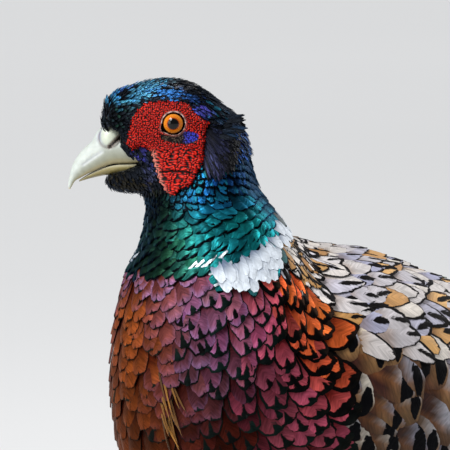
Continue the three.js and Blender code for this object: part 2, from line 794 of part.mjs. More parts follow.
// The origin lies on the floor, under the middle of the whole bird.
const middle = new THREE.Box3().setFromObject(bird, true).getCenter(vec(0, 0, 0));
bird.position.set(-middle.x, -middle.y, 0);
const pheasant = new THREE.Group();
pheasant.add(bird);

export default pheasant;
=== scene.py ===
"""The visual model of a male common pheasant, life size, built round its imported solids."""
import math

import bpy
import numpy as np
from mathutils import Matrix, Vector
from mathutils.bvhtree import BVHTree


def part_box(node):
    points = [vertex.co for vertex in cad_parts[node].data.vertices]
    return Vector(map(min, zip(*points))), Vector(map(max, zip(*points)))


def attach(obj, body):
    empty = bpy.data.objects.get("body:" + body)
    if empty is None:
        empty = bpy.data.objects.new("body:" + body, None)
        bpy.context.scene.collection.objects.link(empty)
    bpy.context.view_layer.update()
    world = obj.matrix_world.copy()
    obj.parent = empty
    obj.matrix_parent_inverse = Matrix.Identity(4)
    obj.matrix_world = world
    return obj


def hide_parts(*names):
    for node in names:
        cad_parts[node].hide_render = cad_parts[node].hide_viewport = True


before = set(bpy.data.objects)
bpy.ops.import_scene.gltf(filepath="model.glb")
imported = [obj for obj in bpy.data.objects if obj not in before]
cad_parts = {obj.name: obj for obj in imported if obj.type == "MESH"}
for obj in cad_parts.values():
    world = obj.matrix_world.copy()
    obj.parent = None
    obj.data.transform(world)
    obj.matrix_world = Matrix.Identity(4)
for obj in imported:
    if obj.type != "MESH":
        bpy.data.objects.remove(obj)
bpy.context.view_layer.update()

# All shapes are drawn in millimetres with the head's joint on the z axis, and moved into the frame at the end.

EYE = np.array([14.5, 13.2, 352.0])
EYE_RADIUS = 6.3
HEAD_TURN = math.radians(40)
eye_centres = [(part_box(n)[0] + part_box(n)[1]) / 2 for n in ("eye_left", "eye_right")]
SHIFT = 500 * (eye_centres[0].x + eye_centres[1].x) - EYE[0] * math.cos(HEAD_TURN)

# Each row holds the back's x and z, the belly's x and z, half the width, and how high the widest place is.
STATIONS = np.array([
    [-268, 201, -266, 165, 23, 0], [-247, 216, -249, 149, 33, 0], [-212, 238, -218, 129, 45, 0],
    [-170, 260, -172, 113, 54, -0.05], [-125, 276.6, -118, 106, 59.5, -0.05], [-88, 287.6, -64, 111, 61, 0],
    [-62, 293, -18, 129, 61, 0], [-48, 296.4, 17.5, 158, 59.5, 0], [-42, 298.6, 35, 197, 55.5, 0],
    [-39, 301.2, 39.8, 240, 48.5, 0], [-35.5, 306, 37.4, 274, 41, 0], [-31, 312.5, 31, 293, 34, 0],
    [-26.5, 319, 28.2, 306, 29.5, 0], [-23, 329, 28, 313.5, 26.5, 0], [-20.6, 338, 30, 318.3, 24, 0],
    [-17.6, 347.5, 36, 318.8, 21, 0.02], [-11.2, 355.2, 42, 320, 19, 0.05], [-1.8, 365, 45.3, 323, 17.6, 0.05],
    [9.8, 370.7, 46.6, 327, 16.3, 0.02], [22, 371.2, 47.2, 331, 14.6, 0], [33, 368.7, 47.6, 335, 12.2, 0],
    [41.5, 365.6, 47.8, 339, 9.4, 0], [46.4, 358.2, 48, 344.5, 6, 0],
])
LAST = len(STATIONS) - 1
random = np.random.default_rng(11)


# Small sums

def curve(rows, t):
    """A smooth line through rows of numbers, at t rows from the first."""
    rows = np.asarray(rows, float)
    p = np.vstack([2 * rows[0] - rows[1], rows, 2 * rows[-1] - rows[-2]])
    t = np.clip(np.asarray(t, float), 0, len(rows) - 1)
    i = np.minimum(t.astype(int), len(rows) - 2)
    f = (t - i)[..., None]
    a, b, c, d = p[i], p[i + 1], p[i + 2], p[i + 3]
    return b + 0.5 * f * (c - a + f * (2 * a - 5 * b + 4 * c - d + f * (3 * (b - c) + d - a)))


def smooth(x, low, high):
    """0 below low and 1 above high, with a soft step between them."""
    f = np.clip((np.asarray(x, float) - low) / (high - low), 0, 1)
    return f * f * (3 - 2 * f)


def mix(a, b, share):
    return a + (b - a) * share


def blend(first, second, share):
    """Mixes two colours by an array of shares."""
    return mix(np.asarray(first), np.asarray(second), np.asarray(share)[..., None])


def unit(v):
    return v / (np.linalg.norm(v, axis=-1, keepdims=True) + 1e-9)


def linear(code):
    """An sRGB hex colour as linear red, green and blue."""
    c = np.array([int(code[i:i + 2], 16) for i in (0, 2, 4)]) / 255
    return np.where(c <= 0.04045, c / 12.92, ((c + 0.055) / 1.055) ** 2.4)


def swung(x, y, angle):
    """Two coordinates, swung by an angle."""
    return x * np.cos(angle) + y * np.sin(angle), y * np.cos(angle) - x * np.sin(angle)


def turned(p, angle):
    """Points turned about the z axis."""
    return np.stack([*swung(p[..., 0], p[..., 1], -angle), p[..., 2]], -1)


def placed(p):
    """Points in the frame, in metres."""
    return (p + [SHIFT, 0, 0]) / 1000


def mirrored(points):
    return points * [1, -1, 1]


def each(values):
    """A value for each feather, with two more axes for the points of its vane."""
    return np.asarray(values, float)[:, None, None]


def run(points):
    """The way from the first of a row of points to each of them."""
    step = np.linalg.norm(np.diff(points, axis=0), axis=-1)
    return np.concatenate([0 * step[:1], np.cumsum(step, 0)])


def read(measure, station):
    """A measure at some stations, given as one number or as a table of stations and values."""
    return np.interp(station, *measure) if isinstance(measure, tuple) else 0 * station + measure


# The body's surface

def head_turn(station):
    """How far the neck has followed the turn of the head at a station."""
    return -HEAD_TURN * smooth(station, 8.6, 13)


def body_shape(station, angle, turn=True):
    """A point at an angle round the body, 0 on the back and growing to the left."""
    back_x, back_z, belly_x, belly_z, half, widest = np.moveaxis(curve(STATIONS, station), -1, 0)
    up = np.cos(angle) + widest * np.sin(angle) ** 2
    x = (back_x + belly_x) / 2 + (back_x - belly_x) / 2 * up
    z = (back_z + belly_z) / 2 + (back_z - belly_z) / 2 * up
    return turned(np.stack([x, half * np.sin(angle), z], -1), head_turn(station) * turn)


# The folded wing's layout: millimetres behind its bend and below its upper edge.
WING_TOP = math.radians(27)
WING_GIRTH = 66.0
BEND, LAYOUT_STEP = 6.8, 0.1
layout_station = BEND - LAYOUT_STEP * np.arange(66)
layout_way = run(body_shape(layout_station, 1.4))
BEND_PACE = layout_way[1] / LAYOUT_STEP


def wing_swell(a, b):
    """How far the folded wing stands out from the body under its coverts."""
    behind = mix(8.2, 3.0, smooth(a, 60, 190))
    across = np.clip(1 - ((b - 41) / 50) ** 2, 0, 1) ** 0.8
    return smooth(a, -24, 34) * behind * across


def wing_layout(station, angle):
    """Where a place on the body lies in the folded wing's layout, the same on both sides."""
    a = np.interp(BEND - station, BEND - layout_station, layout_way)
    a = np.where(station > BEND, (BEND - station) * BEND_PACE, a)
    return a, (np.minimum(angle, 2 * np.pi - angle) - WING_TOP) * WING_GIRTH


STEPS, ROUND = 440, 192
ROWS = STEPS / LAST
station_grid = np.linspace(0, LAST, STEPS + 1)
share_grid = np.linspace(0, 1, ROUND + 1)


def even_angles():
    """For each station, the angles that divide the way round it evenly, and its girth."""
    angles = np.linspace(0, 2 * np.pi, ROUND + 1)
    ring = body_shape(station_grid[:, None], angles[None, :])
    way = run(np.swapaxes(ring, 0, 1)).T
    return np.array([np.interp(share_grid, w / w[-1], angles) for w in way]), way[:, -1]


angle_grid, girth_grid = even_angles()
body_grid = body_shape(station_grid[:, None], angle_grid)


def grid_ways():
    """The steps along and round the body at each place of its grid, and its normal."""
    ahead = np.gradient(body_grid, LAST / STEPS, axis=0)
    around = np.gradient(body_grid, 1 / ROUND, axis=1)
    around[:, 0] = around[:, -1] = (body_grid[:, 1] - body_grid[:, -2]) * ROUND / 2
    return ahead, around, unit(np.cross(ahead, around))


wing_a, wing_b = wing_layout(station_grid[:, None] + 0 * angle_grid, angle_grid)
body_grid = body_grid + grid_ways()[2] * wing_swell(wing_a, wing_b)[..., None]
ahead_grid, round_grid, normal_grid = grid_ways()

# For each column, the way from the bill to each station, and the station at each millimetre of that way.
way_grid = run(body_grid[::-1])
way_end = way_grid[-1]
way_marks = np.arange(0, way_end.max() + 1)
station_at_way = np.array([np.interp(way_marks, way, station_grid[::-1]) for way in way_grid.T]).T


def look(table, row, column):
    """Reads a table between its rows and columns, which wrap round."""
    row = np.clip(row, 0, len(table) - 1.0001)
    column = np.mod(column, ROUND)
    i, j = row.astype(int), column.astype(int)
    f, g = row - i, column - j
    if table.ndim == 3:
        f, g = f[..., None], g[..., None]
    return mix(mix(table[i, j], table[i, j + 1], g), mix(table[i + 1, j], table[i + 1, j + 1], g), f)


def body_place(share, way, turn):
    """A layout on the body for feathers with these roots: x to the left, y towards the tail, and a height."""
    share, way, turn = each(share), each(way), each(turn)
    root = look(station_at_way, way, share * ROUND)
    tailward = -unit(look(ahead_grid, root * ROWS, share * ROUND))
    across = look(round_grid, root * ROWS, share * ROUND)
    lean = (across * tailward).sum(-1)
    breadth = np.linalg.norm(across - lean[..., None] * tailward, axis=-1)
    girth = np.interp(root, station_grid, girth_grid)
    end = look(np.vstack([way_end, way_end]), np.zeros_like(share), share * ROUND)

    def place(x, y, height):
        x, y = swung(x, y, turn)
        along = way + y - lean / breadth * x
        station = look(station_at_way, along, share * ROUND)
        wider = np.interp(station, station_grid, girth_grid) / girth
        row, column = station * ROWS, (share + x / (breadth * np.maximum(wider, 0.8))) * ROUND
        past = np.maximum(along - end, 0)[..., None]
        behind = unit(-unit(look(ahead_grid, row, column)) * [1, 0.4, 1] + [-0.3, 0, 0])
        return look(body_grid, row, column) + past * behind + height[..., None] * unit(look(normal_grid, row, column))

    return place


def body_roots(columns, pace, breadth, narrowest, reach):
    """Roots in staggered columns, a pace apart where a column has its usual breadth, else in proportion to it."""
    shares, ways, stations, widths = [], [], [], []
    for n in range(columns):
        j = int(round(n / columns * ROUND)) % ROUND
        station = station_grid[::-1]
        width = np.linalg.norm(round_grid[::-1, j], axis=1) / columns
        level = 2 ** np.ceil(np.log2(np.maximum(narrowest / width, 1)))
        step = read(pace, station) / read(breadth, station) * width * level
        count = np.cumsum(np.diff(way_grid[:, j], prepend=0) / np.maximum(step, 0.3)) + 0.5 * ((n // level) % 2)
        whole = np.floor(count)
        starts = np.nonzero((np.diff(whole, prepend=whole[0]) > 0) & (n % level == 0))[0]
        starts = starts[(station[starts] >= reach[0]) & (station[starts] <= reach[1])]
        shares += [n / columns] * len(starts)
        ways += list(way_grid[starts, j])
        stations += list(station[starts])
        widths += list((width * level)[starts])
    return tuple(np.array(v) for v in (shares, ways, stations, widths))


# Meshes

def new_object(name, data):
    """An object in the scene."""
    thing = bpy.data.objects.new(name, data)
    bpy.context.scene.collection.objects.link(thing)
    return thing


def new_piece(name, points, faces, material, slot, attributes, bake=None, smooth_angle=None):
    """A mesh object that rides on the body. faces are arrays of corners, attributes are given for each point."""
    mesh = bpy.data.meshes.new(name)
    corners = np.concatenate([f.ravel() for f in faces]).astype(np.int32)
    sizes = np.concatenate([np.full(len(f), f.shape[1]) for f in faces])
    mesh.vertices.add(len(points))
    mesh.vertices.foreach_set("co", placed(points).astype(np.float32).ravel())
    mesh.loops.add(len(corners))
    mesh.loops.foreach_set("vertex_index", corners)
    mesh.polygons.add(len(sizes))
    mesh.polygons.foreach_set("loop_start", np.concatenate([[0], np.cumsum(sizes)[:-1]]).astype(np.int32))
    mesh.polygons.foreach_set("use_smooth", np.ones(len(sizes), bool))
    mesh.update(calc_edges=True)
    for key, values in attributes.items():
        if key in ("ground", "marking"):
            values = np.hstack([values, np.ones((len(values), 1))])
        kind, part = {"mark": ("FLOAT", "value"), "vane": ("FLOAT_VECTOR", "vector")}.get(key, ("FLOAT_COLOR", "color"))
        mesh.attributes.new(key, kind, "POINT").data.foreach_set(part, values.astype(np.float32).ravel())
    if bake is not None:
        mesh.uv_layers.new(name="OFBake").data.foreach_set("uv", bake[corners].astype(np.float32).ravel())
    if smooth_angle:
        mesh.set_sharp_from_angle(angle=math.radians(smooth_angle))
    piece = new_object(name, mesh)
    mesh.materials.append(material)
    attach(piece, "root")
    return piece


def grid_faces(rows, columns, wrap=False):
    """Four-cornered faces over rows of points, each row joined round where wrap is set."""
    r, c = np.meshgrid(np.arange(rows - 1), np.arange(columns if wrap else columns - 1), indexing="ij")
    d = (c + 1) % columns
    face = np.stack([r * columns + c, (r + 1) * columns + c, (r + 1) * columns + d, r * columns + d], -1)
    return face.reshape(-1, 4)


def end_fans(rows, columns):
    """Triangles from the first and the last row of points to the two points that come after all rows."""
    n = np.arange(columns)
    m, top, total = (n + 1) % columns, (rows - 1) * columns, rows * columns
    return np.vstack([np.stack([m, n, 0 * n + total], -1), np.stack([top + n, top + m, 0 * n + total + 1], -1)])


def tube_points(way, wide, deep, sides, across):
    """Rings along a way, with half widths and depths, as points and faces of a closed tube."""
    along = unit(np.gradient(way, axis=0))
    side = unit(np.cross(along, across))
    front = np.cross(side, along)
    angle = 2 * np.pi * (np.arange(sides) + 0.5) / sides
    ring = way[:, None] + side[:, None] * (wide[:, None] * np.sin(angle))[..., None]
    ring = ring + front[:, None] * (deep[:, None] * np.cos(angle))[..., None]
    points = np.vstack([ring.reshape(-1, 3), way[:1], way[-1:]])
    return points, grid_faces(len(way), sides, True)[:, ::-1], end_fans(len(way), sides)[:, ::-1]


# Feathers

def outline(v, tip_start, tip_round, notch):
    """The edge of a vane, from its root at 0 to its tip at 1, as shares of half its width and its length."""
    f = np.clip((v - tip_start) / (1 - tip_start), 0, 1)
    turn = 0.47 * np.pi * f
    width = np.where(v < tip_start, 0.3 + 0.7 * smooth(v, -0.05, tip_start), np.cos(turn) ** tip_round)
    reach = np.where(v < tip_start, v, tip_start + (1 - tip_start) * np.sin(turn))
    return width, reach - notch * smooth(f, 0.5, 1)


PATCH = 0.0015  # side of each vane's place in the bake


def bake_spot(share, station):
    """Where the bake keeps the vanes of a place on the body."""
    return np.stack([0.02 + 0.9 * np.mod(share, 1), 0.02 + 0.9 * station / LAST], -1)


def lay_feathers(name, place, length, half, pattern, material, slot, bake_at, *, rows=12, sides=2, lift=(-2.5, 0.2),
                 tip_start=0.55, tip_round=0.8, notch=0.0, ragged=0.25, camber=0.12, droop=0.3, rise=0.8,
                 thickness=0.2, barb_lean=1.7, flip=False, loose=0.15):
    """A coat piece of closed thin vanes, one for each root that place lays out."""
    count = len(length)
    length, half = each(length), each(half)
    v = np.linspace(0, 1, rows + 1)[None, :, None]
    e = np.linspace(-1, 1, 2 * sides + 1)[None, None, :]
    width, reach = outline(v, tip_start, tip_round, notch)
    jag = random.normal(0, 1, (count, rows + 1, 2)) * smooth(v, 0.25, 0.6)
    jag = np.where(e < 0, jag[..., :1], jag[..., 1:]) * ragged
    barb_start = v ** barb_lean * reach[:, -1:] * length
    barb_end = reach * length + jag * np.abs(e) * 0.9
    x = e * (half * width + 0.4 * jag)
    y = mix(barb_start, barb_end, np.abs(e) ** 1.2)
    part = y / length
    raised = lift[1] + random.normal(0, 1, (count, 1, 1)) * loose
    height = mix(lift[0], raised, np.clip(part, 0, 1.1) ** rise)
    height = height - camber * half * e ** 2 * smooth(v, 0, 0.3) - droop * smooth(part, 0.75, 1.05)
    middle = slice(sides, sides + 1)
    under = place(x[..., middle], y[..., middle], height[..., middle] - thickness * mix(1.6, 0.7, v))
    points = np.concatenate([place(x, y, height), under], 2).reshape(-1, 3)
    wide = 2 * sides + 2
    c = np.arange(2 * sides)
    fan = np.stack([0 * c + wide - 1, c + 1, c], -1)
    first = np.arange(count)[:, None, None] * (rows + 1) * wide
    quads = (grid_faces(rows + 1, wide, True)[:, ::-1] + first).reshape(-1, 4)
    tris = (np.vstack([fan[:, ::-1], fan + rows * wide]) + first).reshape(-1, 3)
    if flip:
        quads, tris = quads[:, ::-1], tris[:, ::-1]

    edge = (1 - np.abs(e)) * (np.abs(barb_end - barb_start) + half * width)
    tip = reach[:, -1:] * length - y
    # far: about how far a place lies from the outline of its vane, in the half towards the tip
    cell = dict(x=x, y=y, length=length, half=half, edge=edge, tip=tip, far=np.minimum(edge, tip * 0.9),
                luck=random.random((count, 4))[:, :, None, None])
    ground, marking, mark = pattern(cell)

    def spread(values, *colours):
        """Values for all points of all vanes. The lower edge has those of the quill above it."""
        values = np.broadcast_to(values, (count, rows + 1, 2 * sides + 1, *colours))
        return np.concatenate([values, values[:, :, middle]], 2).reshape(-1, *colours)

    vane = np.stack(np.broadcast_arrays(x, v * length, cell["luck"][:, 3] * 900), -1)
    attributes = {"ground": spread(ground, 3), "marking": spread(marking, 3), "mark": spread(mark),
                  "vane": spread(vane, 3)}
    patch = np.stack([spread(x / half), spread(part)], -1).reshape(count, -1, 2) * PATCH + bake_at[:, None]
    return new_piece(name, points, [quads, tris], material, slot, attributes, patch.reshape(-1, 2), 70)


# Materials

def add(tree, kind, settings=None, inputs=None):
    """Adds a node with its settings and its inputs, each a value, a node's output, or a node for its first output."""
    node = tree.nodes.new(kind)
    for key, value in (settings or {}).items():
        setattr(node, key, value)
    for key, value in (inputs or {}).items():
        if isinstance(value, bpy.types.Node):
            value = value.outputs[0]
        if isinstance(value, bpy.types.NodeSocket):
            tree.links.new(value, node.inputs[key])
        else:
            node.inputs[key].default_value = value
    return node


def new_material(name):
    """A material and its bare tree."""
    material = bpy.data.materials.new(name)
    material.use_nodes = True
    material.node_tree.nodes.clear()
    return material, material.node_tree


def plumage(name, *, gloss, roughness, sheen, streak, sheen_tint=(1, 1, 1), specular=0.25, tint=(1, 1, 1), quill=0.0,
            bump=0.5, barb=1.15, fray=0.9):
    """Vanes of keratin, whose barbs are drawn at the given number to a millimetre, coarser than the real three."""
    material, tree = new_material(name)
    ground, marking, mark, vane = (add(tree, "ShaderNodeAttribute", {"attribute_name": key})
                                   for key in ("ground", "marking", "mark", "vane"))
    barbs, patches = (add(tree, "ShaderNodeVectorMath", {"operation": "MULTIPLY"},
                          {0: vane.outputs["Vector"], 1: stretch}) for stretch in ((0.22, barb, 1), (0.3, 0.3, 1)))
    lines = add(tree, "ShaderNodeTexNoise", {}, {"Vector": barbs, "Scale": 1.0, "Detail": 2.0, "Roughness": 0.6})
    cloud = add(tree, "ShaderNodeTexNoise", {}, {"Vector": patches, "Scale": 1.0, "Detail": 1.0})
    frayed = add(tree, "ShaderNodeMath", {"operation": "MULTIPLY_ADD"}, {0: lines, 1: fray * 2, 2: -fray})
    limit = add(tree, "ShaderNodeMath", {"operation": "ADD"}, {0: mark.outputs["Fac"], 1: frayed})
    share = add(tree, "ShaderNodeMapRange", {"interpolation_type": "SMOOTHSTEP"},
                {"Value": limit, "From Min": -0.22, "From Max": 0.22})
    colour = add(tree, "ShaderNodeMix", {"data_type": "RGBA"}, {0: share, 6: ground, 7: marking})
    depth, drift = (add(tree, "ShaderNodeMapRange", {}, {"Value": noise, "From Min": 0.3, "From Max": 0.7,
                                                         "To Min": 1 - much, "To Max": 1 + much})
                    for noise, much in ((lines, streak), (cloud, 0.16)))
    shade = add(tree, "ShaderNodeMath", {"operation": "MULTIPLY"}, {0: depth, 1: drift})
    lit = add(tree, "ShaderNodeVectorMath", {"operation": "SCALE"}, {0: colour.outputs[2], "Scale": shade})
    if quill:
        apart = add(tree, "ShaderNodeSeparateXYZ", {}, {0: vane.outputs["Vector"]})
        aside = add(tree, "ShaderNodeMath", {"operation": "ABSOLUTE"}, {0: apart})
        line = add(tree, "ShaderNodeMapRange", {"interpolation_type": "SMOOTHSTEP"},
                   {"Value": aside, "From Min": 0.42, "From Max": 0.12, "To Max": quill})
        lit = add(tree, "ShaderNodeMix", {"data_type": "RGBA"}, {0: line, 6: lit, 7: (*linear("120c0a"), 1)}).outputs[2]
    relief = add(tree, "ShaderNodeBump", {}, {"Strength": bump, "Distance": 0.0004, "Height": lines})
    shine, bloom = (add(tree, "ShaderNodeMapRange", {}, {"Value": share, "To Min": plain, "To Max": marked})
                    for plain, marked in ((specular, 0.04), (sheen, 0.0)))
    skin = add(tree, "ShaderNodeBsdfPrincipled", {},
               {"Base Color": lit, "Metallic": gloss, "Roughness": roughness, "Sheen Weight": bloom,
                "Sheen Roughness": 0.4, "Sheen Tint": (*sheen_tint, 1), "Specular IOR Level": shine,
                "Specular Tint": (*tint, 1), "IOR": 1.55, "Normal": relief})
    add(tree, "ShaderNodeOutputMaterial", {}, {"Surface": skin})
    return material


def clouded(name, scale, detail, tone, strength, depth, look):
    """Soft matter or horn in the colours of its mesh, with fine clouds in them that also give it its relief."""
    material, tree = new_material(name)
    ground = add(tree, "ShaderNodeAttribute", {"attribute_name": "ground"})
    place = add(tree, "ShaderNodeTexCoord")
    grain = add(tree, "ShaderNodeTexNoise", {}, {"Vector": place.outputs["Object"], "Scale": scale, "Detail": detail})
    shade = add(tree, "ShaderNodeMapRange", {}, {"Value": grain, "From Min": 0.3, "From Max": 0.7,
                                                 "To Min": tone[0], "To Max": tone[1]})
    lit = add(tree, "ShaderNodeVectorMath", {"operation": "SCALE"}, {0: ground, "Scale": shade})
    relief = add(tree, "ShaderNodeBump", {}, {"Strength": strength, "Distance": depth, "Height": grain})
    skin = add(tree, "ShaderNodeBsdfPrincipled", {}, {"Base Color": lit, "Normal": relief, **look})
    add(tree, "ShaderNodeOutputMaterial", {}, {"Surface": skin})
    return material


# Neck vanes hold layers of pigment that shine green and blue like metal.
NECK_VANES = plumage("neck_plumage_iridescent_keratin", gloss=0.72, roughness=0.36, sheen=0.0, streak=0.42,
                     specular=0.18, tint=(0.35, 0.62, 0.9), bump=0.7)
# White vanes without pigment, soft and matt.
COLLAR_VANES = plumage("collar_plumage_white_keratin", gloss=0.0, roughness=0.62, sheen=0.3, streak=0.13)
# Copper vanes have a weaker shine with a lilac bloom on it.
BREAST_VANES = plumage("breast_plumage_copper_keratin", gloss=0.45, roughness=0.46, sheen=0.02, streak=0.36,
                       specular=0.06, tint=(1.0, 0.62, 0.42), sheen_tint=tuple(linear("c39ad6")), bump=0.6)
# Pale vanes of the back are matt, those of the flank a little glossy.
MANTLE_VANES = plumage("mantle_plumage_cream_keratin", gloss=0.0, roughness=0.6, sheen=0.15, streak=0.2)
FLANK_VANES = plumage("flank_plumage_buff_keratin", gloss=0.12, roughness=0.52, sheen=0.12, specular=0.16, streak=0.3,
                      bump=0.6)
# The rump's long soft barbs catch the light like hair, and the downy belly swallows it.
RUMP_VANES = plumage("rump_plumage_hair_like_keratin", gloss=0.3, roughness=0.45, sheen=0.3, streak=0.35, bump=0.6)
BELLY_VANES = plumage("belly_plumage_dark_downy_keratin", gloss=0.0, roughness=0.75, sheen=0.4, streak=0.3)
# Short vanes of the head lie like velvet, black with a shine of blue and green.
HEAD_VANES = plumage("head_plumage_velvet_iridescent_keratin", gloss=0.55, roughness=0.38, sheen=0.02, streak=0.35,
                     specular=0.2, tint=(0.5, 0.62, 0.85), barb=2.0)
# Ear coverts lie loose like hair, with a faint shine.
EAR_VANES = plumage("ear_coverts_hair_like_keratin", gloss=0.3, roughness=0.42, sheen=0.04, specular=0.15, streak=0.3,
                    barb=2.0)
# Flight and tail vanes are stiff, matt and dry, with a dark quill.
WING_VANES = plumage("wing_plumage_barred_brown_keratin", gloss=0.0, roughness=0.5, sheen=0.25, streak=0.16,
                     quill=0.6, fray=0.5)
TAIL_VANES = plumage("tail_plumage_barred_buff_keratin", gloss=0.0, roughness=0.48, sheen=0.3, streak=0.14,
                     quill=0.7, fray=0.7)
# The downy parts of the feathers at their roots, dull and matt, seen only in the gaps between the vanes.
DOWN = clouded("body_down_soft_keratin", 900.0, 3.0, (0.6, 1.3), 0.6, 0.0006,
               {"Roughness": 0.85, "Sheen Weight": 0.4, "Sheen Roughness": 0.5})
# Bare skin full of blood, moist and a little see-through, with fine pores.
WATTLE_SKIN = clouded("wattle_skin_blood_red", 1800.0, 2.0, (1, 1), 0.4, 0.0002,
                      {"Roughness": 0.4, "IOR": 1.4, "Subsurface Weight": 0.03, "Subsurface Radius": (1.0, 0.3, 0.2),
                       "Subsurface Scale": 0.0005, "Specular IOR Level": 0.2})
# Ivory-coloured horn, smooth and slightly see-through, with faint clouds of growth.
BILL_HORN = clouded("bill_horn_ivory_keratin", 420.0, 4.0, (0.86, 1.05), 0.25, 0.0003,
                    {"Roughness": 0.38, "IOR": 1.55, "Coat Weight": 0.2, "Coat Roughness": 0.2,
                     "Subsurface Weight": 0.1, "Subsurface Radius": (1.0, 0.8, 0.6), "Subsurface Scale": 0.001})


# Markings of the body, the same on the coat and on the skin under it

BLACK = linear("07080c")
NECK_STOPS = [  # share round the neck from the nape, colours low and high on the neck
    (0.00, "0c1c20", "07090d"), (0.07, "0e3038", "090d18"), (0.13, "12646a", "0e2858"), (0.19, "137a7c", "184c9c"),
    (0.24, "10707c", "175a94"), (0.30, "146a70", "124260"), (0.35, "195844", "102a22"), (0.41, "1a3e28", "161604"),
    (0.50, "1b301e", "181404"),
]
# The mauve and pink stops from 0.19 to 0.29 are partly the copper's own colour and partly painted purple sheen.
BREAST_COLOURS_AND_SHEEN = [  # share round the breast from a line a little right of its middle, colours high and low on it
    (0.00, "803e16", "481f07"), (0.06, "74381a", "401a07"), (0.12, "633236", "300f05"), (0.19, "6e4068", "300d07"),
    (0.24, "a6527f", "742b46"), (0.29, "c85470", "8e3a50"), (0.33, "d45c2c", "a04028"), (0.37, "ec7c2c", "b85426"),
    (0.46, "f49646", "c67430"),
]


def stops(table, at, share):
    """Reads a table of colours at a place, between its first and second column by share."""
    places = [row[0] for row in table]
    columns = [np.array([linear(row[k]) for row in table]) for k in (1, 2)]
    first, second = (np.stack([np.interp(at, places, c[:, i]) for i in range(3)], -1) for c in columns)
    return blend(first, second, share)


def from_back(share):
    return np.minimum(np.mod(share, 1), 1 - np.mod(share, 1))


def neck_colour(share, station):
    return stops(NECK_STOPS, from_back(share), smooth(station, 11.3, 12.7))


def breast_side(share):
    """How far a share lies from the middle of the breast's dark front, which the head's turn moves to its right."""
    return np.abs(np.mod(share, 1) - 0.54)


def breast_colour(share, station):
    return stops(BREAST_COLOURS_AND_SHEEN, breast_side(share), smooth(station, 9.7, 7.9))


def collar_amount(share, station):
    """How much of the white collar lies at a place on the lower neck."""
    uu = from_back(share)
    lowest = np.interp(uu, [0.16, 0.175, 0.21, 0.235, 0.27, 0.3], [9.75, 9.65, 9.46, 9.48, 9.55, 9.74])
    highest = np.interp(uu, [0.17, 0.19, 0.225, 0.27, 0.3], [10.1, 10.0, 9.95, 10.02, 10.12])
    side = smooth(uu, 0.16, 0.17) * smooth(uu, 0.312, 0.3)
    broad = side * smooth(station, lowest - 0.05, lowest + 0.05) * smooth(station, highest + 0.05, highest - 0.05)
    nape = smooth(uu, 0.03, 0.045) * smooth(uu, 0.155, 0.14)
    nape = nape * smooth(station, 9.55, 9.65) * smooth(station, 10.25, 10.15)
    return np.maximum(broad, nape)


def white_tips(share, station, luck):
    """Feathers of the lowest green rows that end in white."""
    uu = from_back(share)
    near = smooth(uu, 0.275, 0.29) * smooth(uu, 0.375, 0.36) * (np.abs(station - 10.36) < 0.4)
    speck = (np.abs(share - 0.565) < 0.022) * (np.abs(station - 11.0) < 0.3)
    return (near > 0.5) & (luck < 0.7) | (speck > 0)


def mantle_limit(station):
    """The share from the back at which the pale mantle ends."""
    return np.interp(station, [4.2, 5.8, 6.1, 7, 8, 8.6, 9.2, 9.6], [0.1, 0.1, 0.135, 0.14, 0.155, 0.175, 0.2, 0.2])


def neck_end(share):
    """The station where the green of the neck ends and the breast or the back begins."""
    uu = from_back(share)
    return np.interp(uu, [0.0, 0.04, 0.15, 0.175, 0.2, 0.235, 0.27, 0.3, 0.325, 0.5],
                     [10.2, 10.15, 10.15, 9.6, 9.34, 9.32, 9.38, 9.7, 10.2, 10.35])


# Each pattern gives a vane's ground colour, the colour of its markings, and how deep in a marking a place lies.

def neck_pattern(cell, share, station):
    luck, tip, far = cell["luck"], cell["tip"], cell["far"]
    base = neck_colour(share, station)[:, None, None]
    white = each(collar_amount(share, station) > 0.5)
    tipped = each(white_tips(share, station, luck[:, 2, 0, 0])) > 0
    ground = blend(base, base[..., [0, 2, 1]], 0.35 * luck[:, 1])
    # Each vane is brighter towards its tip: partly its own dull base and partly a painted highlight along its curve.
    ground = ground * ((0.45 + 0.85 * luck[:, 0]) * (0.4 + 0.8 * smooth(tip, 6.5, 1.0)))[..., None]
    # Painted shade: the white collar vanes turn grey-blue towards the root, where the row above overlaps them.
    ground = blend(ground, blend(linear("5c6c86"), linear("dfe7f0"), smooth(tip, 9.5, 2.2)), white)
    # A black rim along the vane's edge: partly its own dark fringe and partly painted shadow along the edge of each
    # scale.
    mark = np.where(tipped, 1.2 - tip, 0.5 + 0.6 * luck[:, 1] - far)
    marking = np.where(tipped[..., None], linear("e6eef6"), BLACK)
    return ground, marking, np.where(white > 0, -3, mark)


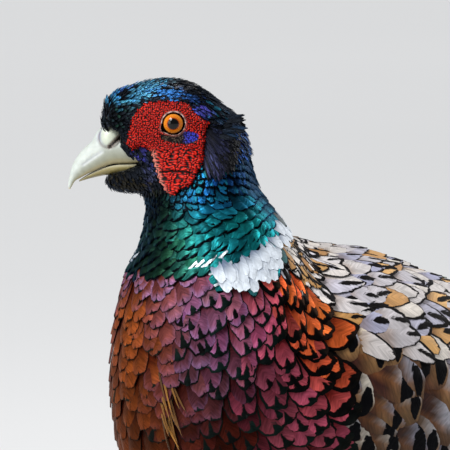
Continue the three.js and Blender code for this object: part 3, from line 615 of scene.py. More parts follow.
def breast_pattern(cell, share, station):
    luck, t, x = cell["luck"], cell["tip"], cell["x"]
    base, aside = breast_colour(share, station)[:, None, None], each(breast_side(share))
    orange = smooth(aside, 0.24, 0.34)
    # Where the painted lilac sheen lies across the breast.
    lilac_sheen = np.exp(-((aside - 0.2) / 0.09) ** 2) * smooth(each(station), 7.9, 9.3)
    violet = smooth(aside, 0.06, 0.14) * smooth(aside, 0.31, 0.25)
    first = smooth(each(neck_end(share) - station), 0.55, 0.25) * (1 - orange)
    last = each(smooth(station, 6.75, 6.4) * smooth(from_back(share), 0.36, 0.3))
    bold = smooth(aside, 0.06, 0.24)
    own = base * ((0.66 + 0.68 * luck[:, 0]) * mix(1, 1.45, orange))[..., None]
    own = blend(own, own[..., [0, 2, 1]], 0.3 * luck[:, 1] * violet)
    own = blend(own, linear("5e2a20"), 0.7 * first)
    ground = blend(own * [0.36, 0.2, 0.16], own * (0.8 + 0.6 * smooth(t, 7, 1.5))[..., None], smooth(t, 13, 6))
    # Painted sheen: a lilac bloom on the rims of the vanes, in the lilac band of the breast and on its first rows below
    # the neck.
    rim = smooth(cell["far"], 3.0, 1.0) * np.maximum(0.8 * lilac_sheen, 0.9 * first) * smooth(t, 10, 3)
    ground = blend(ground, linear("9a7cb0"), 0.55 * rim)
    size = (1.5 + 0.7 * luck[:, 1]) * (1 - 0.8 * first) * (luck[:, 2] >= 0.9 - bold)
    notch = size * (1 - t / (7.0 + 3.5 * luck[:, 2])) - np.abs(x + 0.35 * (luck[:, 3] - 0.5) * t)
    edge = mix(0.15 + 0.45 * luck[:, 2], 0.7 + 1.0 * luck[:, 2], bold)
    edge = mix(edge, 2.0 + 1.5 * luck[:, 1], orange) * (1 - 0.7 * first) - cell["far"]
    # The black marks take a painted teal sheen at random, except on the orange side.
    marking = blend(linear("060709"), linear("0b1a18"), luck[:, 3] * (1 - orange))
    return ground, marking, np.maximum(np.maximum(notch, edge), 5.2 * last - 0.6 - t)


def mantle_pattern(cell, _, station):
    luck, t, x = cell["luck"], cell["tip"], cell["x"]
    neck, grey = smooth(each(station), 8.0, 9.2), smooth(each(station), 7.4, 5.4)
    pale = blend(linear("f6ece0"), linear("b8b8d6"), luck[:, 0] * mix(0.6, 1, grey)) * mix(1, 0.74, grey)[..., None]
    warm = blend(linear("b07a40"), linear("d8a868"), luck[:, 1])
    chosen = luck[:, 2] < 0.14 + 0.25 * neck
    base = np.where(chosen[..., None], warm, pale)
    ground = blend(base * [0.6, 0.5, 0.42], base, smooth(t, 22, 13))
    hand = np.where(luck[:, 3] < 0.5, 1, -1)
    edge = np.where(x * hand > 0, 1.7 + 1.2 * luck[:, 1], 0.7) * np.where(chosen, 0.5, 1) - cell["far"]
    middle = 1.1 * smooth(t, 0.8, 2.6) * (0.4 + luck[:, 0]) - np.abs(x + 0.3)
    middle = middle - (1 - neck) * (1.2 * (luck[:, 0] < 0.3) + 0.3 * np.maximum(t - 7 - 5 * luck[:, 1], 0))
    return ground, linear("0c090a"), np.maximum(edge, middle)


def flank_pattern(cell, *_):
    luck, t, x = cell["luck"], cell["tip"], cell["x"]
    wide, long = 5.8 + 3.2 * luck[:, 0], 2.7 + 1.2 * luck[:, 1]
    bow = t - 0.6 - 0.8 * luck[:, 2] - long - 0.014 * (x + 2 * luck[:, 3] - 1) ** 2
    oval = long * (1 - ((x + 3 * (luck[:, 2] - 0.5)) / wide) ** 2) - np.abs(bow) - 3 * (luck[:, 3] < 0.05)
    cream = blend(linear("e0d6c4"), linear("a4a8c0"), luck[:, 2])
    buff = blend(linear("8c6840"), linear("563820"), luck[:, 0])
    ground = blend(buff, cream, smooth(x, 2, -4) * smooth(t, 14, 5))
    ground = blend(linear("381610"), ground, smooth(t, 19, 8))
    ground = blend(ground, linear("4c2a1c"), smooth(x / cell["half"], 0.42, 0.85) * 0.85)
    ripple = np.sin((t + 0.45 * np.abs(x)) * 2.6 + 6 * luck[:, 3])
    ground = ground * (1 + 0.2 * ripple * smooth(t, 3, 7))[..., None]
    ground = blend(ground, linear("a86a34"), smooth(np.abs(x), 0.7, 0.3) * smooth(t, 5.5, 7) * 0.3)
    return ground, linear("040407"), oval


def rump_pattern(cell, share, _):
    luck, t = cell["luck"], cell["tip"]
    green = blend(linear("6f7f6c"), linear("8a8f72"), luck[:, 0])
    red = blend(linear("6e2e22"), linear("8a4630"), luck[:, 1])
    base = blend(green, red, each(smooth(from_back(share), 0.09, 0.2)))
    mark = np.where(t > 7, 1.5 - np.abs(cell["x"]), 0.05 - cell["far"])
    return blend(base * 0.5, base, smooth(t, 16, 3)), linear("1c1a18"), mark


def plain_pattern(first, second, root, tip, long, short, marking, rim):
    """Vanes of one colour, each its own mixture, darker towards the root, with a rim."""
    def pattern(cell, *_):
        base = blend(linear(first), linear(second), cell["luck"][:, 0])
        return blend(base * root, base * tip, smooth(cell["tip"], long, short)), linear(marking), rim - cell["edge"]

    return pattern


strand_pattern = plain_pattern("9c6a28", "3c2410", 0.5, 1, 20, 8, "1c1008", 0.1)
belly_pattern = plain_pattern("20130e", "3a2116", 0.6, 1.2, 8, 1, "0c0908", 0.3)
thigh_pattern = plain_pattern("3a2417", "5a3c28", 0.6, 1, 8, 1, "140e0a", 0.3)

# The face's outlines, seen from its left side: x forward and z up

BILL_SPACE = np.array([(47.5, 351.2), (42.2, 349.6), (38.6, 346.4), (38.3, 343.6), (38.7, 340.3), (34.5, 338),
                       (29, 335), (29.2, 332.6), (36, 329.6), (44.6, 327.3), (75, 314), (75, 352)])
WATTLE = np.array([
    (27.4, 361.3), (22.9, 362.1), (16.9, 362.2), (11.4, 361.9), (6.8, 360.4), (5.0, 356.9), (0.9, 354.2),
    (-0.2, 353.2), (-3.9, 352.4), (-0.6, 349.9), (-0.2, 344.3), (0.4, 337.4), (0.9, 333.7), (3.6, 329.1),
    (5.9, 324.9), (8.7, 323.1), (11.0, 322.4), (13.2, 319.9), (15.5, 319.2), (18.3, 321.3), (20.6, 324.9),
    (22.4, 329.5), (23.8, 335.1), (24.9, 338.9), (27.4, 341.1), (31.1, 341.3), (33.4, 339.2), (36.2, 342.2),
    (35.2, 348.4), (33.4, 354.4), (30.6, 358.5),
])


def inside_by(x, z, corners):
    """How far places lie inside an outline, below zero outside it."""
    x, z = np.asarray(x, float)[..., None], np.asarray(z, float)[..., None]
    ax, az = corners[:, 0], corners[:, 1]
    bx, bz = np.roll(ax, -1), np.roll(az, -1)
    dx, dz = bx - ax, bz - az
    share = np.clip(((x - ax) * dx + (z - az) * dz) / (dx * dx + dz * dz), 0, 1)
    far = np.hypot(x - ax - share * dx, z - az - share * dz).min(-1)
    crossed = ((az > z) != (bz > z)) & (x < dx * (z - az) / np.where(dz == 0, 1e-9, dz) + ax)
    return np.where(crossed.sum(-1) % 2 == 1, far, -far)


# The skin, which carries the coat

def region_colour(share, station):
    """The colour of the plumage at a place, plain, for the skin under it."""
    uu = from_back(share)
    colour = breast_colour(share, station)
    colour = blend(colour, neck_colour(share, station), smooth(station - neck_end(share), -0.1, 0.1))
    colour = blend(colour, linear("0e1014"), smooth(station, 14.5, 15.5))
    colour = blend(colour, linear("c8d4e2"), collar_amount(share, station))
    pale = smooth(uu, mantle_limit(station) + 0.01, mantle_limit(station) - 0.01)
    pale = pale * smooth(station - neck_end(share), 0.1, -0.1)
    colour = blend(colour, linear("b5a48c"), pale)
    rear = smooth(station, 6.1, 5.9) * smooth(uu, 0.12, 0.14)
    colour = blend(colour, linear("7c5c40"), rear)
    colour = blend(colour, linear("2a1a12"), rear * smooth(uu, 0.37, 0.4))
    return blend(colour, linear("5e5540"), smooth(station, 4.4, 4.2) * smooth(uu, 0.18, 0.16))


def coat_depth(station):
    """How far the skin lies under the outer surface of the coat."""
    return np.interp(station, [0, 1, 6, 9.5, 11, 13, 15, 20, 22], [3, 4.6, 4.6, 4.2, 3.2, 2.8, 1.9, 1.7, 1.3])


# Each row holds a distance from the heel, and the thigh's half width and depth there.
THIGH_SIZES = np.array([[8.3, 7.2, 7.6], [13, 9.5, 10.5], [20, 12, 14.5], [30, 15, 19.5], [44, 17.5, 25],
                        [60, 18.5, 28], [76, 15, 22]])


def thigh_size(s):
    return [np.interp(s, THIGH_SIZES[:, 0], THIGH_SIZES[:, k]) for k in (1, 2)]


def leg_lines(side):
    """The foot, heel and hip of one leg. The left foot stands ahead of the right one."""
    stride = 7 * side
    foot = np.array([-112 + stride, side * 37, 9.0])
    heel = np.array([foot[0] - 22, foot[1] * 1.02, foot[2] + math.sqrt(71 ** 2 - 22 ** 2)])
    return foot, heel, np.array([-84 + stride * 0.4, side * 37 * 0.9, 158.0])


def joined(parts):
    """Several meshes as one, each a list of its points and its faces."""
    starts = np.cumsum([0] + [len(part[0]) for part in parts])
    groups = zip(*([faces + start for faces in part[1:]] for part, start in zip(parts, starts)))
    return np.vstack([part[0] for part in parts]), [np.vstack(group) for group in groups]


def make_skin():
    rows, columns = np.arange(0, STEPS + 1, 4), np.arange(0, ROUND, 2)
    grid = np.ix_(rows, columns)
    station, share = np.meshgrid(station_grid[rows], share_grid[columns], indexing="ij")
    straight = turned(body_grid[grid] - coat_depth(station)[..., None] * normal_grid[grid], -head_turn(station))
    inside = inside_by(straight[..., 0], straight[..., 2], BILL_SPACE)
    straight[..., 1] *= np.where(station > 14, mix(1, 0.3, smooth(inside, -1.0, 0.9)), 1)
    body = turned(straight, head_turn(station))
    colour = region_colour(share, station).reshape(-1, 3) * 0.55
    points = np.vstack([body.reshape(-1, 3), [body[0].mean(0), body[-1].mean(0)]])
    parts = [(points, grid_faces(len(rows), len(columns), True), end_fans(len(rows), len(columns)))]
    colours, bake = [colour, colour[[0, -1]]], [bake_spot(share.ravel(), station.ravel()), np.full((2, 2), 0.01)]
    for k, side in enumerate((1, -1)):
        _, heel, hip = leg_lines(side)
        s = np.linspace(8.3, 76, 24)
        wide, deep = (size - 2.2 * smooth(s, 8, 20) for size in thigh_size(s))
        parts.append(tube_points(heel + unit(hip - heel) * s[:, None], wide, deep, 24, [1.0, 0, 0]))
        count = len(parts[-1][0])
        colours.append(np.tile(linear("2c1c13") * 0.6, (count, 1)))
        bake.append(np.stack([0.1 + 0.3 * k + 0.2 * np.linspace(0, 1, count), np.full(count, 0.96)], -1))
    skin = new_piece("skin", *joined(parts), DOWN, "body_feather", {"ground": np.vstack(colours)}, np.vstack(bake))
    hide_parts("torso", "neck", "head", "thigh_left", "thigh_right")


make_skin()


# The body's coat

def coat(name, columns, spacing, narrowest, reach, keep, length, breadth, pattern, material, slot="body_feather",
         *, ahead=0.8, lean=0, stray=5, **form):
    """Lays the feathers of one region. Their roots stand spacing apart: a pace, and the breadth of a column."""
    share, way, station, _ = body_roots(columns, *spacing, narrowest, reach)
    chosen = keep(share, station + random.normal(0, 0.04, len(station)))
    share, way, station = share[chosen], way[chosen], station[chosen]
    count = len(share)
    long = read(length, station) * random.uniform(0.92, 1.1, count)
    half = read(breadth, station) * random.uniform(0.92, 1.08, count)
    way = np.maximum(way - long * ahead + random.normal(0, 0.015, count) * long, 0)
    share = share + random.normal(0, 0.06, count) * half / np.maximum(np.interp(station, station_grid, girth_grid), 60)
    turn = random.normal(math.radians(lean), math.radians(stray), count)
    lay_feathers(name, body_place(share, way, turn), long, half, lambda cell: pattern(cell, share, station), material,
                 slot, bake_spot(share, station), **form)


def off_collar(share, station):
    return collar_amount(share, station) < 0.5


def on_neck(share, station):
    return (station > neck_end(share)) & (station < 12.35) & off_collar(share, station)


def on_breast(share, station):
    uu = from_back(share)
    low = np.interp(uu, [0.12, 0.15, 0.2, 0.25, 0.3, 0.5], [6.6, 6.5, 6.12, 6.15, 6.1, 5.95])
    below_neck = (station < neck_end(share) + 0.05) & off_collar(share, station)
    return (uu > mantle_limit(station)) & (station > low) & below_neck


def on_mantle(share, station):
    return (from_back(share) <= mantle_limit(station)) & (station < neck_end(share)) & off_collar(share, station)


def on_side(share, station):
    """The flank below the folded wing and behind its tip."""
    angle = np.array([np.interp(u, share_grid, angle_grid[int(n)]) for u, n in zip(share, station * ROWS)])
    a, b = wing_layout(station, angle)
    return (from_back(share) > 0.125) & (from_back(share) < 0.4) & (station < 6.25) & ((b > 58) | (a > 196))


def on_rump(share, station):
    return (from_back(share) <= mix(0.17, 0.1, smooth(station, 1.5, 2.5))) & (station < 4.1)


# Measures are in millimetres, one number or a table of stations and values.
coat("coat_neck_upper", 96, (2.3, 1), 1.6, (12.2, 14.9), lambda u, s: s > 12.3, ([12, 14], [11, 8]),
     ([12, 14], [2.5, 1.9]), neck_pattern, NECK_VANES, "neck_feather", rows=7, sides=1, lift=(-2.6, 0.1), stray=7,
     ragged=0.3)
coat("coat_neck_lower", 42, (5.6, ([10.4, 12.4], [6.6, 4.1])), 3.4, (9.0, 12.6), on_neck, 16,
     ([10.4, 12.4], [6.3, 4.4]), neck_pattern, NECK_VANES, "neck_feather", rows=11, sides=3, lift=(-3.2, 0.4), stray=6,
     ragged=0.3, tip_start=0.66, tip_round=0.5)
coat("coat_collar", 92, (6.4, ([9.6, 10.9], [4.4, 3.4])), 2.6, (9.0, 10.8), lambda u, s: collar_amount(u, s) > 0.5, 19,
     2.9, neck_pattern, COLLAR_VANES, "neck_feather", rows=12, sides=2, lift=(-2.4, 1.1), stray=4, ragged=0.25,
     loose=0.1, tip_start=0.6, tip_round=0.7, camber=0.03, droop=0.5)
coat("coat_breast", 62, (13, ([6, 8, 10.5], [7.2, 6, 4.3])), 3.6, (5.6, 10.9), on_breast, ([6, 10.4], [32, 24]),
     ([6, 8, 10.4], [7.4, 6.6, 5.4]), breast_pattern, BREAST_VANES, rows=16, sides=3, lift=(-4.4, 0.5), tip_start=0.62,
     tip_round=0.62, notch=0.03, stray=10, ragged=0.4)
coat("coat_breast_strands", 150, (2.4, 1), 0.5, (8.15, 8.7), lambda u, s: np.abs(u - 0.466) < 0.013, 27, 0.55,
     strand_pattern, FLANK_VANES, rows=14, sides=1, lift=(-3, 1.2), tip_start=0.4, tip_round=1.5, lean=-14, stray=7,
     ragged=0.15, loose=0.3)
coat("coat_mantle", 92, (([6.5, 8.3], [16, 5.2]), ([5, 7, 9, 10.5], [5.2, 4.3, 3.0, 2.1])), 3.2, (4.0, 10.6), on_mantle,
     ([6, 8, 10], [36, 22, 15]), ([5, 8, 10], [5.6, 4.8, 4.2]), mantle_pattern, MANTLE_VANES, rows=15, sides=3,
     lift=(-4.4, 0.2), tip_start=0.42, tip_round=1.0, stray=13, ragged=0.3)
coat("coat_flank", 52, (14, ([2, 5, 6.4], [7, 9.2, 8.8])), 4, (0.02, 6.5), on_side, 38, 10.5, flank_pattern,
     FLANK_VANES, rows=16, sides=3, lift=(-5.5, 0.6), tip_start=0.72, tip_round=0.5, stray=7, ragged=0.3, camber=0.08,
     ahead=0.5)
coat("coat_rump", 64, (([0, 1], [7, 12]), ([1, 3, 5], [3.5, 6, 7.5])), 4, (0.01, 4.6), on_rump, ([0, 1.5], [46, 34]),
     5.4, rump_pattern, RUMP_VANES, rows=14, sides=2, lift=(-4.5, 0.4), tip_start=0.4, tip_round=1.2, stray=7,
     ragged=0.6, ahead=0.35)
coat("coat_belly", 44, (14, ([1, 5], [6, 10])), 5, (0.01, 6.4), lambda u, s: (from_back(u) > 0.38) & (s < 6.1), 34, 9,
     belly_pattern, BELLY_VANES, rows=10, sides=2, lift=(-4.8, 0.2), tip_start=0.6, tip_round=0.7, stray=10, ragged=1.0,
     ahead=0.4)


# Head

HEAD_START = 256
SIDES = (("left", False), ("right", True))
straight_grid = body_shape(station_grid[:, None], angle_grid, False)
head_surface = BVHTree.FromPolygons(straight_grid[HEAD_START:, :-1].reshape(-1, 3).tolist(),
                                    grid_faces(STEPS + 1 - HEAD_START, ROUND, True).tolist())


def head_side(x, z):
    """How far out the left of the head is, at places seen from the side."""
    def reach(px, pz):
        hit = head_surface.ray_cast((px, 80.0, pz), (0, -1.0, 0))[0]
        return hit.y if hit else 0.0

    return np.vectorize(reach)(x, z)


def on_head(points, mirror=False):
    """Points of the straight head, turned with it."""
    return turned(mirrored(points) if mirror else points, -HEAD_TURN)


# Coloured patches of the face and painted glints of blue, green and violet on its black feathers: x, z, how far they
# reach along and across, their slant, share of feathers, two colours.
FACE_TONES_AND_GLINTS = [
    (43.5, 364.5, 5.5, 3.2, -50, 0.92, "3484d0", "4ca4c6"),
    (37, 369.5, 8, 2.8, -12, 0.94, "4a94ca", "4c72d2"),
    (31, 364.5, 10, 3.0, -35, 0.76, "3572a0", "4088a2"),
    (24, 368.5, 10, 3.2, -18, 0.82, "4484ac", "5492a8"),
    (16, 365.6, 8, 2.4, 8, 0.62, "20508a", "2862a0"),
    (10, 369.5, 11, 2.6, 8, 0.5, "34373f", "56524e"),
    (4, 362.0, 7, 2.6, 28, 0.34, "142552", "18386a"),
    (-4, 356.5, 7, 2.6, 25, 0.3, "144a5c", "1c6478"),
    (1.5, 357.5, 4, 2.2, 25, 0.5, "4a3f98", "2f3f90"),
    (-10, 345, 9, 7, 60, 0.7, "1c2036", "14182a"),
    (-6, 338, 8, 6, 75, 0.6, "1e2238", "141826"),
    (-15.5, 341, 2.6, 11, 10, 0.5, "181b52", "12386c"),
    (-18, 333, 3.0, 7, 20, 0.5, "123c80", "18548f"),
    (-6, 328.5, 8, 3.4, -18, 0.6, "10606a", "125a50"),
    (29, 338.2, 3.6, 3.2, 0, 0.4, "282566", "1e1e50"),
    (26.5, 333.0, 3.0, 3.6, 0, 0.36, "22205a", "1a2254"),
    (26.0, 325.0, 2.2, 6.5, 8, 0.5, "1e2036", "2a2d44"),
    (36, 322.5, 9, 3.6, 0, 0.6, "2c2510", "1c190c"),
    (22, 316, 9, 4, 0, 0.5, "25210f", "172014"),
    (36, 356, 8, 6, 0, 0.4, "1b3a2c", "26303a"),
]


def head_colour(x, z, luck):
    """The colour of each feather of the face: black, with the colours of its patches and painted glints where a patch
    reaches.
    """
    colour = linear("0a0c10") * (0.6 + 0.9 * luck[:, :1])
    for gx, gz, long, wide, slant, chance, first, second in FACE_TONES_AND_GLINTS:
        along, across = swung(x - gx, z - gz, math.radians(slant))
        near = np.exp(-((along / long) ** 2 + (across / wide) ** 2) * 0.9)
        caught = smooth(near * chance * 5 / 3, luck[:, 1] - 0.08, luck[:, 1] + 0.08) * (near > 0.12)
        colour = blend(colour, blend(linear(first), linear(second), luck[:, 2]), caught * mix(0.6, 1, luck[:, 3]))
    return colour


def lay_head(name, place, length, half, colour, bake_at, material=HEAD_VANES, **form):
    """Short feathers of the head, each of one colour, with a dark root and a fine black rim."""
    def pattern(cell):
        shade = 0.45 + 0.9 * smooth(cell["tip"] / cell["length"], 0.7, 0.15)
        return colour[:, None, None] * shade[..., None], BLACK, 0.12 - cell["edge"] * 0.9

    form = dict(rows=5, sides=1, tip_start=0.45, tip_round=1.0, ragged=0.15, camber=0.2, thickness=0.12) | form
    lay_feathers(name, place, length, half, pattern, material, "head_feather", bake_at, **form)


def for_side(place, mirror):
    """A layout on the left of the straight head, turned with the head and put on either side."""
    return lambda x, y, height: on_head(place(x, y, height), mirror)


def head_coat():
    """The feathers that cover the head, but for its bill and its wattles."""
    share, way, station, width = body_roots(160, 2.15, ([14, 18, 20, 22], [1.26, 1.1, 0.78, 0.6]), 0.62, (14.35, 22))
    column = share * ROUND
    root = look(straight_grid, station * ROWS, column)
    x, z = root[:, 0], root[:, 2]
    ear = np.exp(-(((x + 9) / 9) ** 2 + ((z - 341) / 9) ** 2))
    back, front = smooth(x, 14, -8) * smooth(z, 350, 362), smooth(x, 24, 36) * smooth(z, 366, 350)
    long = 5.2 + 4.0 * ear + 2.0 * back - 1.2 * front
    tip = look(straight_grid, look(station_at_way, way + long * 0.9, column) * ROWS, column)
    keep = (inside_by(x, z, WATTLE) < 0.2) & (inside_by(tip[:, 0], tip[:, 2], WATTLE) < 1.5)
    keep = (keep | (np.abs(root[:, 1]) <= 4)) & (inside_by(x, z, BILL_SPACE) < 0.3)
    share, way, station, width, long, x, z, ear, tip = (
        v[keep] for v in (share, way, station, width, long, x, z, ear, tip))
    count = len(share)
    luck = random.random((count, 4))
    colour = head_colour(mix(x, tip[:, 0], 0.8), mix(z, tip[:, 2], 0.8), luck)
    nape = smooth(from_back(share), 0.12, 0.04) * smooth(station, 16.2, 15.2)
    chin = smooth(from_back(share), 0.4, 0.46) * smooth(station, 19.5, 18.5)
    crest = 0.75 * np.exp(-((x + 5) / 6) ** 2 - ((z - 359) / 6) ** 2)
    lift = 0.3 + mix(0.15, 1.6, nape * random.random(count)) + 3.6 * crest * random.uniform(0.5, 1, count)
    lift = lift + 0.8 * chin * random.random(count)
    turn = random.normal(0, math.radians(7), count) + 0.2 * (luck[:, 0] - 0.5) * ear
    long = (long + 4 * crest) * random.uniform(0.85, 1.15, count)
    lay_head("coat_head", body_place(share, way, turn), long, np.maximum(width * 0.9, 0.56) * mix(1, 0.6, ear), colour,
             bake_spot(share, station), lift=(-1.7, each(lift)), camber=0.18, droop=0.25, barb_lean=1.5)


def brow_coat():
    """Short bristly feathers over the flat front of the brow, which stand up from the bill."""
    y0, z0 = (v.ravel() for v in np.meshgrid(np.arange(-6, 6.1, 1.05), np.arange(344.5, 359, 1.3)))
    y0 = y0 + random.normal(0, 0.25, len(y0))
    z0 = z0 + random.normal(0, 0.3, len(z0))

    def place(x, y, height):
        y, z = each(y0) + x, each(z0) + y
        return on_head(np.stack([47.2 - 0.045 * y ** 2 - 0.018 * np.maximum(z - 352, 0) ** 2 + height, y, z], -1))

    colour = head_colour(45, z0 + 2, random.random((len(y0), 4)))
    lay_head("coat_brow", place, random.uniform(4, 5.5, len(y0)), np.full(len(y0), 0.8), colour,
             np.stack([0.5 + 0.01 * y0, 0.93 + 0.001 * (z0 - 344)], -1), lift=(-1.2, 0.6), tip_start=0.4, loose=0.4)


def bristles():
    """Short feathers round the base of the bill, which point away from it."""
    rim = BILL_SPACE[:10]
    way = run(rim)
    at, row = (v.ravel() for v in np.meshgrid(np.arange(0.5, way[-1] - 1, 0.95), np.arange(8) / 7))
    at = at + random.normal(0, 0.25, len(at))
    start, before, after = (np.stack([np.interp(at + step, way, rim[:, k]) for k in (0, 1)], -1)
                            for step in (0, -0.8, 0.8))
    ahead = unit(after - before)
    away = ahead[:, ::-1] * [1, -1]
    away = away * np.where(inside_by(*(start + away).T, BILL_SPACE) > 0, -1, 1)[:, None]
    (x0, z0), (away_x, away_z) = start.T, away.T
    reach = np.maximum(head_side(np.minimum(x0 + 1.5 * away_x, 45.5), z0 + 1.5 * away_z) - 1.0, 4)
    out = mix(-0.7, 0.8, row)
    root = np.stack([x0 + out * away_x, reach * mix(0.34, 0.9, row), z0 + out * away_z], -1)
    line = unit(np.stack([1.5 * away_x, 0.56 * reach, 1.5 * away_z], -1))
    across = unit(np.stack([ahead[:, 0], 0 * x0, ahead[:, 1]], -1))
    bend = np.stack([away_x, 0 * x0, away_z], -1)
    normal = unit(np.cross(line, across))
    normal = -normal * np.sign((normal * bend).sum(-1, keepdims=True))
    long = mix(4.2, 3.2, row) * random.uniform(0.85, 1.15, len(row))

    def place(x, y, height):
        past = np.maximum(y - each((1 - row) * 0.5 * reach), 0)
        ways = ((y - 0.8 * past, line), (x, across), (0.7 * past, bend), (height, normal))
        return each(root) + sum(far[..., None] * each(way) for far, way in ways)

    colour = head_colour(x0 + 4 * away_x, z0 + 4 * away_z, random.random((len(row), 4)))
    turned_over = (np.cross(across, line) * normal).sum(-1).mean() < 0
    for side_name, mirror in SIDES:
        lay_head(f"bill_bristles_{side_name}", for_side(place, mirror), long, np.full(len(row), 0.85), colour,
                 np.full((len(row), 2), 0.57), lift=(-0.7, 0.45), ragged=0.12, loose=0.2, flip=mirror != turned_over)


def ear_tufts():
    """Stiff feathers that stand back from the rear of the crown on both sides."""
    n = np.arange(13)
    back, out = unit(np.array([-0.97, 0.12, -0.1])), unit(np.array([-0.3, 0.8, 0.52]))
    across = unit(np.cross(out, back))
    normal = np.cross(back, across)
    normal = normal * np.sign(normal @ out)
    level = each(0.5 * (n // 5) + 0.25 * (n % 2))
    for side_name, mirror in SIDES:
        fan = (n % 5 - 2) / 2.4 + random.normal(0, 0.08, len(n))
        start = 6.0 - 3.6 * (n // 5) + random.normal(0, 0.5, len(n))
        root = np.array([-0.8, 9.8, 350.6]) - np.outer(start, back) + np.outer(3.6 * fan, across)

        def place(x, y, height):
            x, y = swung(x, y, each(0.2 * fan))
            raised = height + level + 0.006 * y ** 2
            return each(root) + y[..., None] * back + x[..., None] * across + raised[..., None] * normal

        luck = random.random((len(n), 4))
        # Black, with a painted dark blue sheen on some of the vanes.
        colour = blend(linear("050608"), linear("10304e"), 0.7 * (luck[:, 0] > 0.6) * luck[:, 1])
        lay_head(f"ear_tuft_{side_name}", for_side(place, mirror), random.uniform(14, 20.5, len(n)),
                 np.full(len(n), 1.5), colour, np.full((len(n), 2), 0.6), rows=8, sides=2, lift=(-0.4, 0.4),
                 tip_start=0.4, tip_round=0.9, ragged=0.25, thickness=0.15, flip=mirror)


def ear_coverts():
    """Long fine feathers that fan back and down over the opening of the ear."""
    x0, z0 = random.uniform(-12, 2, 560), random.uniform(336, 354, 560)
    keep = inside_by(x0, z0, WATTLE) < 0.4
    x0, z0 = x0[keep], z0[keep]
    count = len(x0)
    slope = each(np.radians(np.interp(z0, [336, 345, 354], [74, 48, 16])) + random.normal(0, 0.1, count))
    step = 0.75
    xs, zs = np.arange(-30, 8, step), np.arange(314, 360, step)
    table = head_side(*np.meshgrid(xs, zs, indexing="ij"))

    def place(x, y, height):
        back, down = y * np.cos(slope) - x * np.sin(slope), y * np.sin(slope) + x * np.cos(slope)
        px, pz = each(x0) - back, each(z0) - down
        i, j = np.clip((px - xs[0]) / step, 0, len(xs) - 1.01), np.clip((pz - zs[0]) / step, 0, len(zs) - 1.01)
        m, n = i.astype(int), j.astype(int)
        low, high = (mix(table[m, n + k], table[m + 1, n + k], i - m) for k in (0, 1))
        return np.stack([px, mix(low, high, j - n) + height, pz], -1)

    luck = random.random((count, 4))
    # Black, with a painted grey-violet sheen on some of the strands, most near the front.
    colour = blend(linear("08090d"), linear("40446e"), luck[:, 0] ** 2 * smooth(x0, -10, -1))
    long = random.uniform(8, 12, count) * mix(0.7, 1, smooth(x0, -9, -2))
    for side_name, mirror in SIDES:
        lay_head(f"ear_coverts_{side_name}", for_side(place, mirror), long, np.full(count, 0.62), colour,
                 np.full((count, 2), 0.58), EAR_VANES, rows=6, lift=(-0.5, 0.75), tip_start=0.5, ragged=0.1,
                 camber=0.3, thickness=0.1, loose=0.25, flip=mirror)


head_coat()
brow_coat()
bristles()
ear_tufts()
ear_coverts()


# Bare skin round the eye

def cells(x, z, size, stretch=1.0, seed=1):
    """Rounded bulbs in a loose packing: how near a place is to the middle of its bulb, and the bulb's number."""
    u, v = x / size / stretch, z / size
    i, j = np.floor(u), np.floor(v)
    best, number = np.full(np.shape(x), 9.0), np.zeros(np.shape(x))
    for di in (-1, 0, 1):
        for dj in (-1, 0, 1):
            ci, cj = i + di, j + dj
            hash_a = np.mod(np.sin(ci * 127.1 + cj * 311.7 + seed) * 43758.5453, 1)
            hash_b = np.mod(np.sin(ci * 269.5 + cj * 183.3 + seed) * 43758.5453, 1)
            far = np.hypot(u - ci - 0.15 - 0.7 * hash_a, v - cj - 0.15 - 0.7 * hash_b)
            number = np.where(far < best, np.mod(hash_a * 7.3 + hash_b * 3.1, 1), number)
            best = np.minimum(best, far)
    return best, number


LID_STEPS = 72
lid_turn = np.linspace(0, 2 * np.pi, LID_STEPS, endpoint=False)


def lid_radius(turn):
    """How far the edge of the lids lies from the middle of the eye, longest at the front corner."""
    corner = np.mod(turn + math.radians(28) + np.pi, 2 * np.pi) - np.pi
    return 5.45 + 1.15 * np.exp(-(corner / 0.36) ** 2) + 0.22 * np.cos(turn - math.radians(175))


CRESCENT = np.array([(20.4, 347.3), (17.6, 346.9), (15.0, 346.6), (12.2, 347.1), (10.2, 348.6), (8.4, 348.5),
                     (5.5, 348.2), (3.4, 347.4), (2.5, 345.9), (3.3, 344.3), (5.4, 343.2), (8.7, 342.5),
                     (11.9, 343.0), (15.1, 343.4), (18.3, 344.2), (20.4, 345.3)])


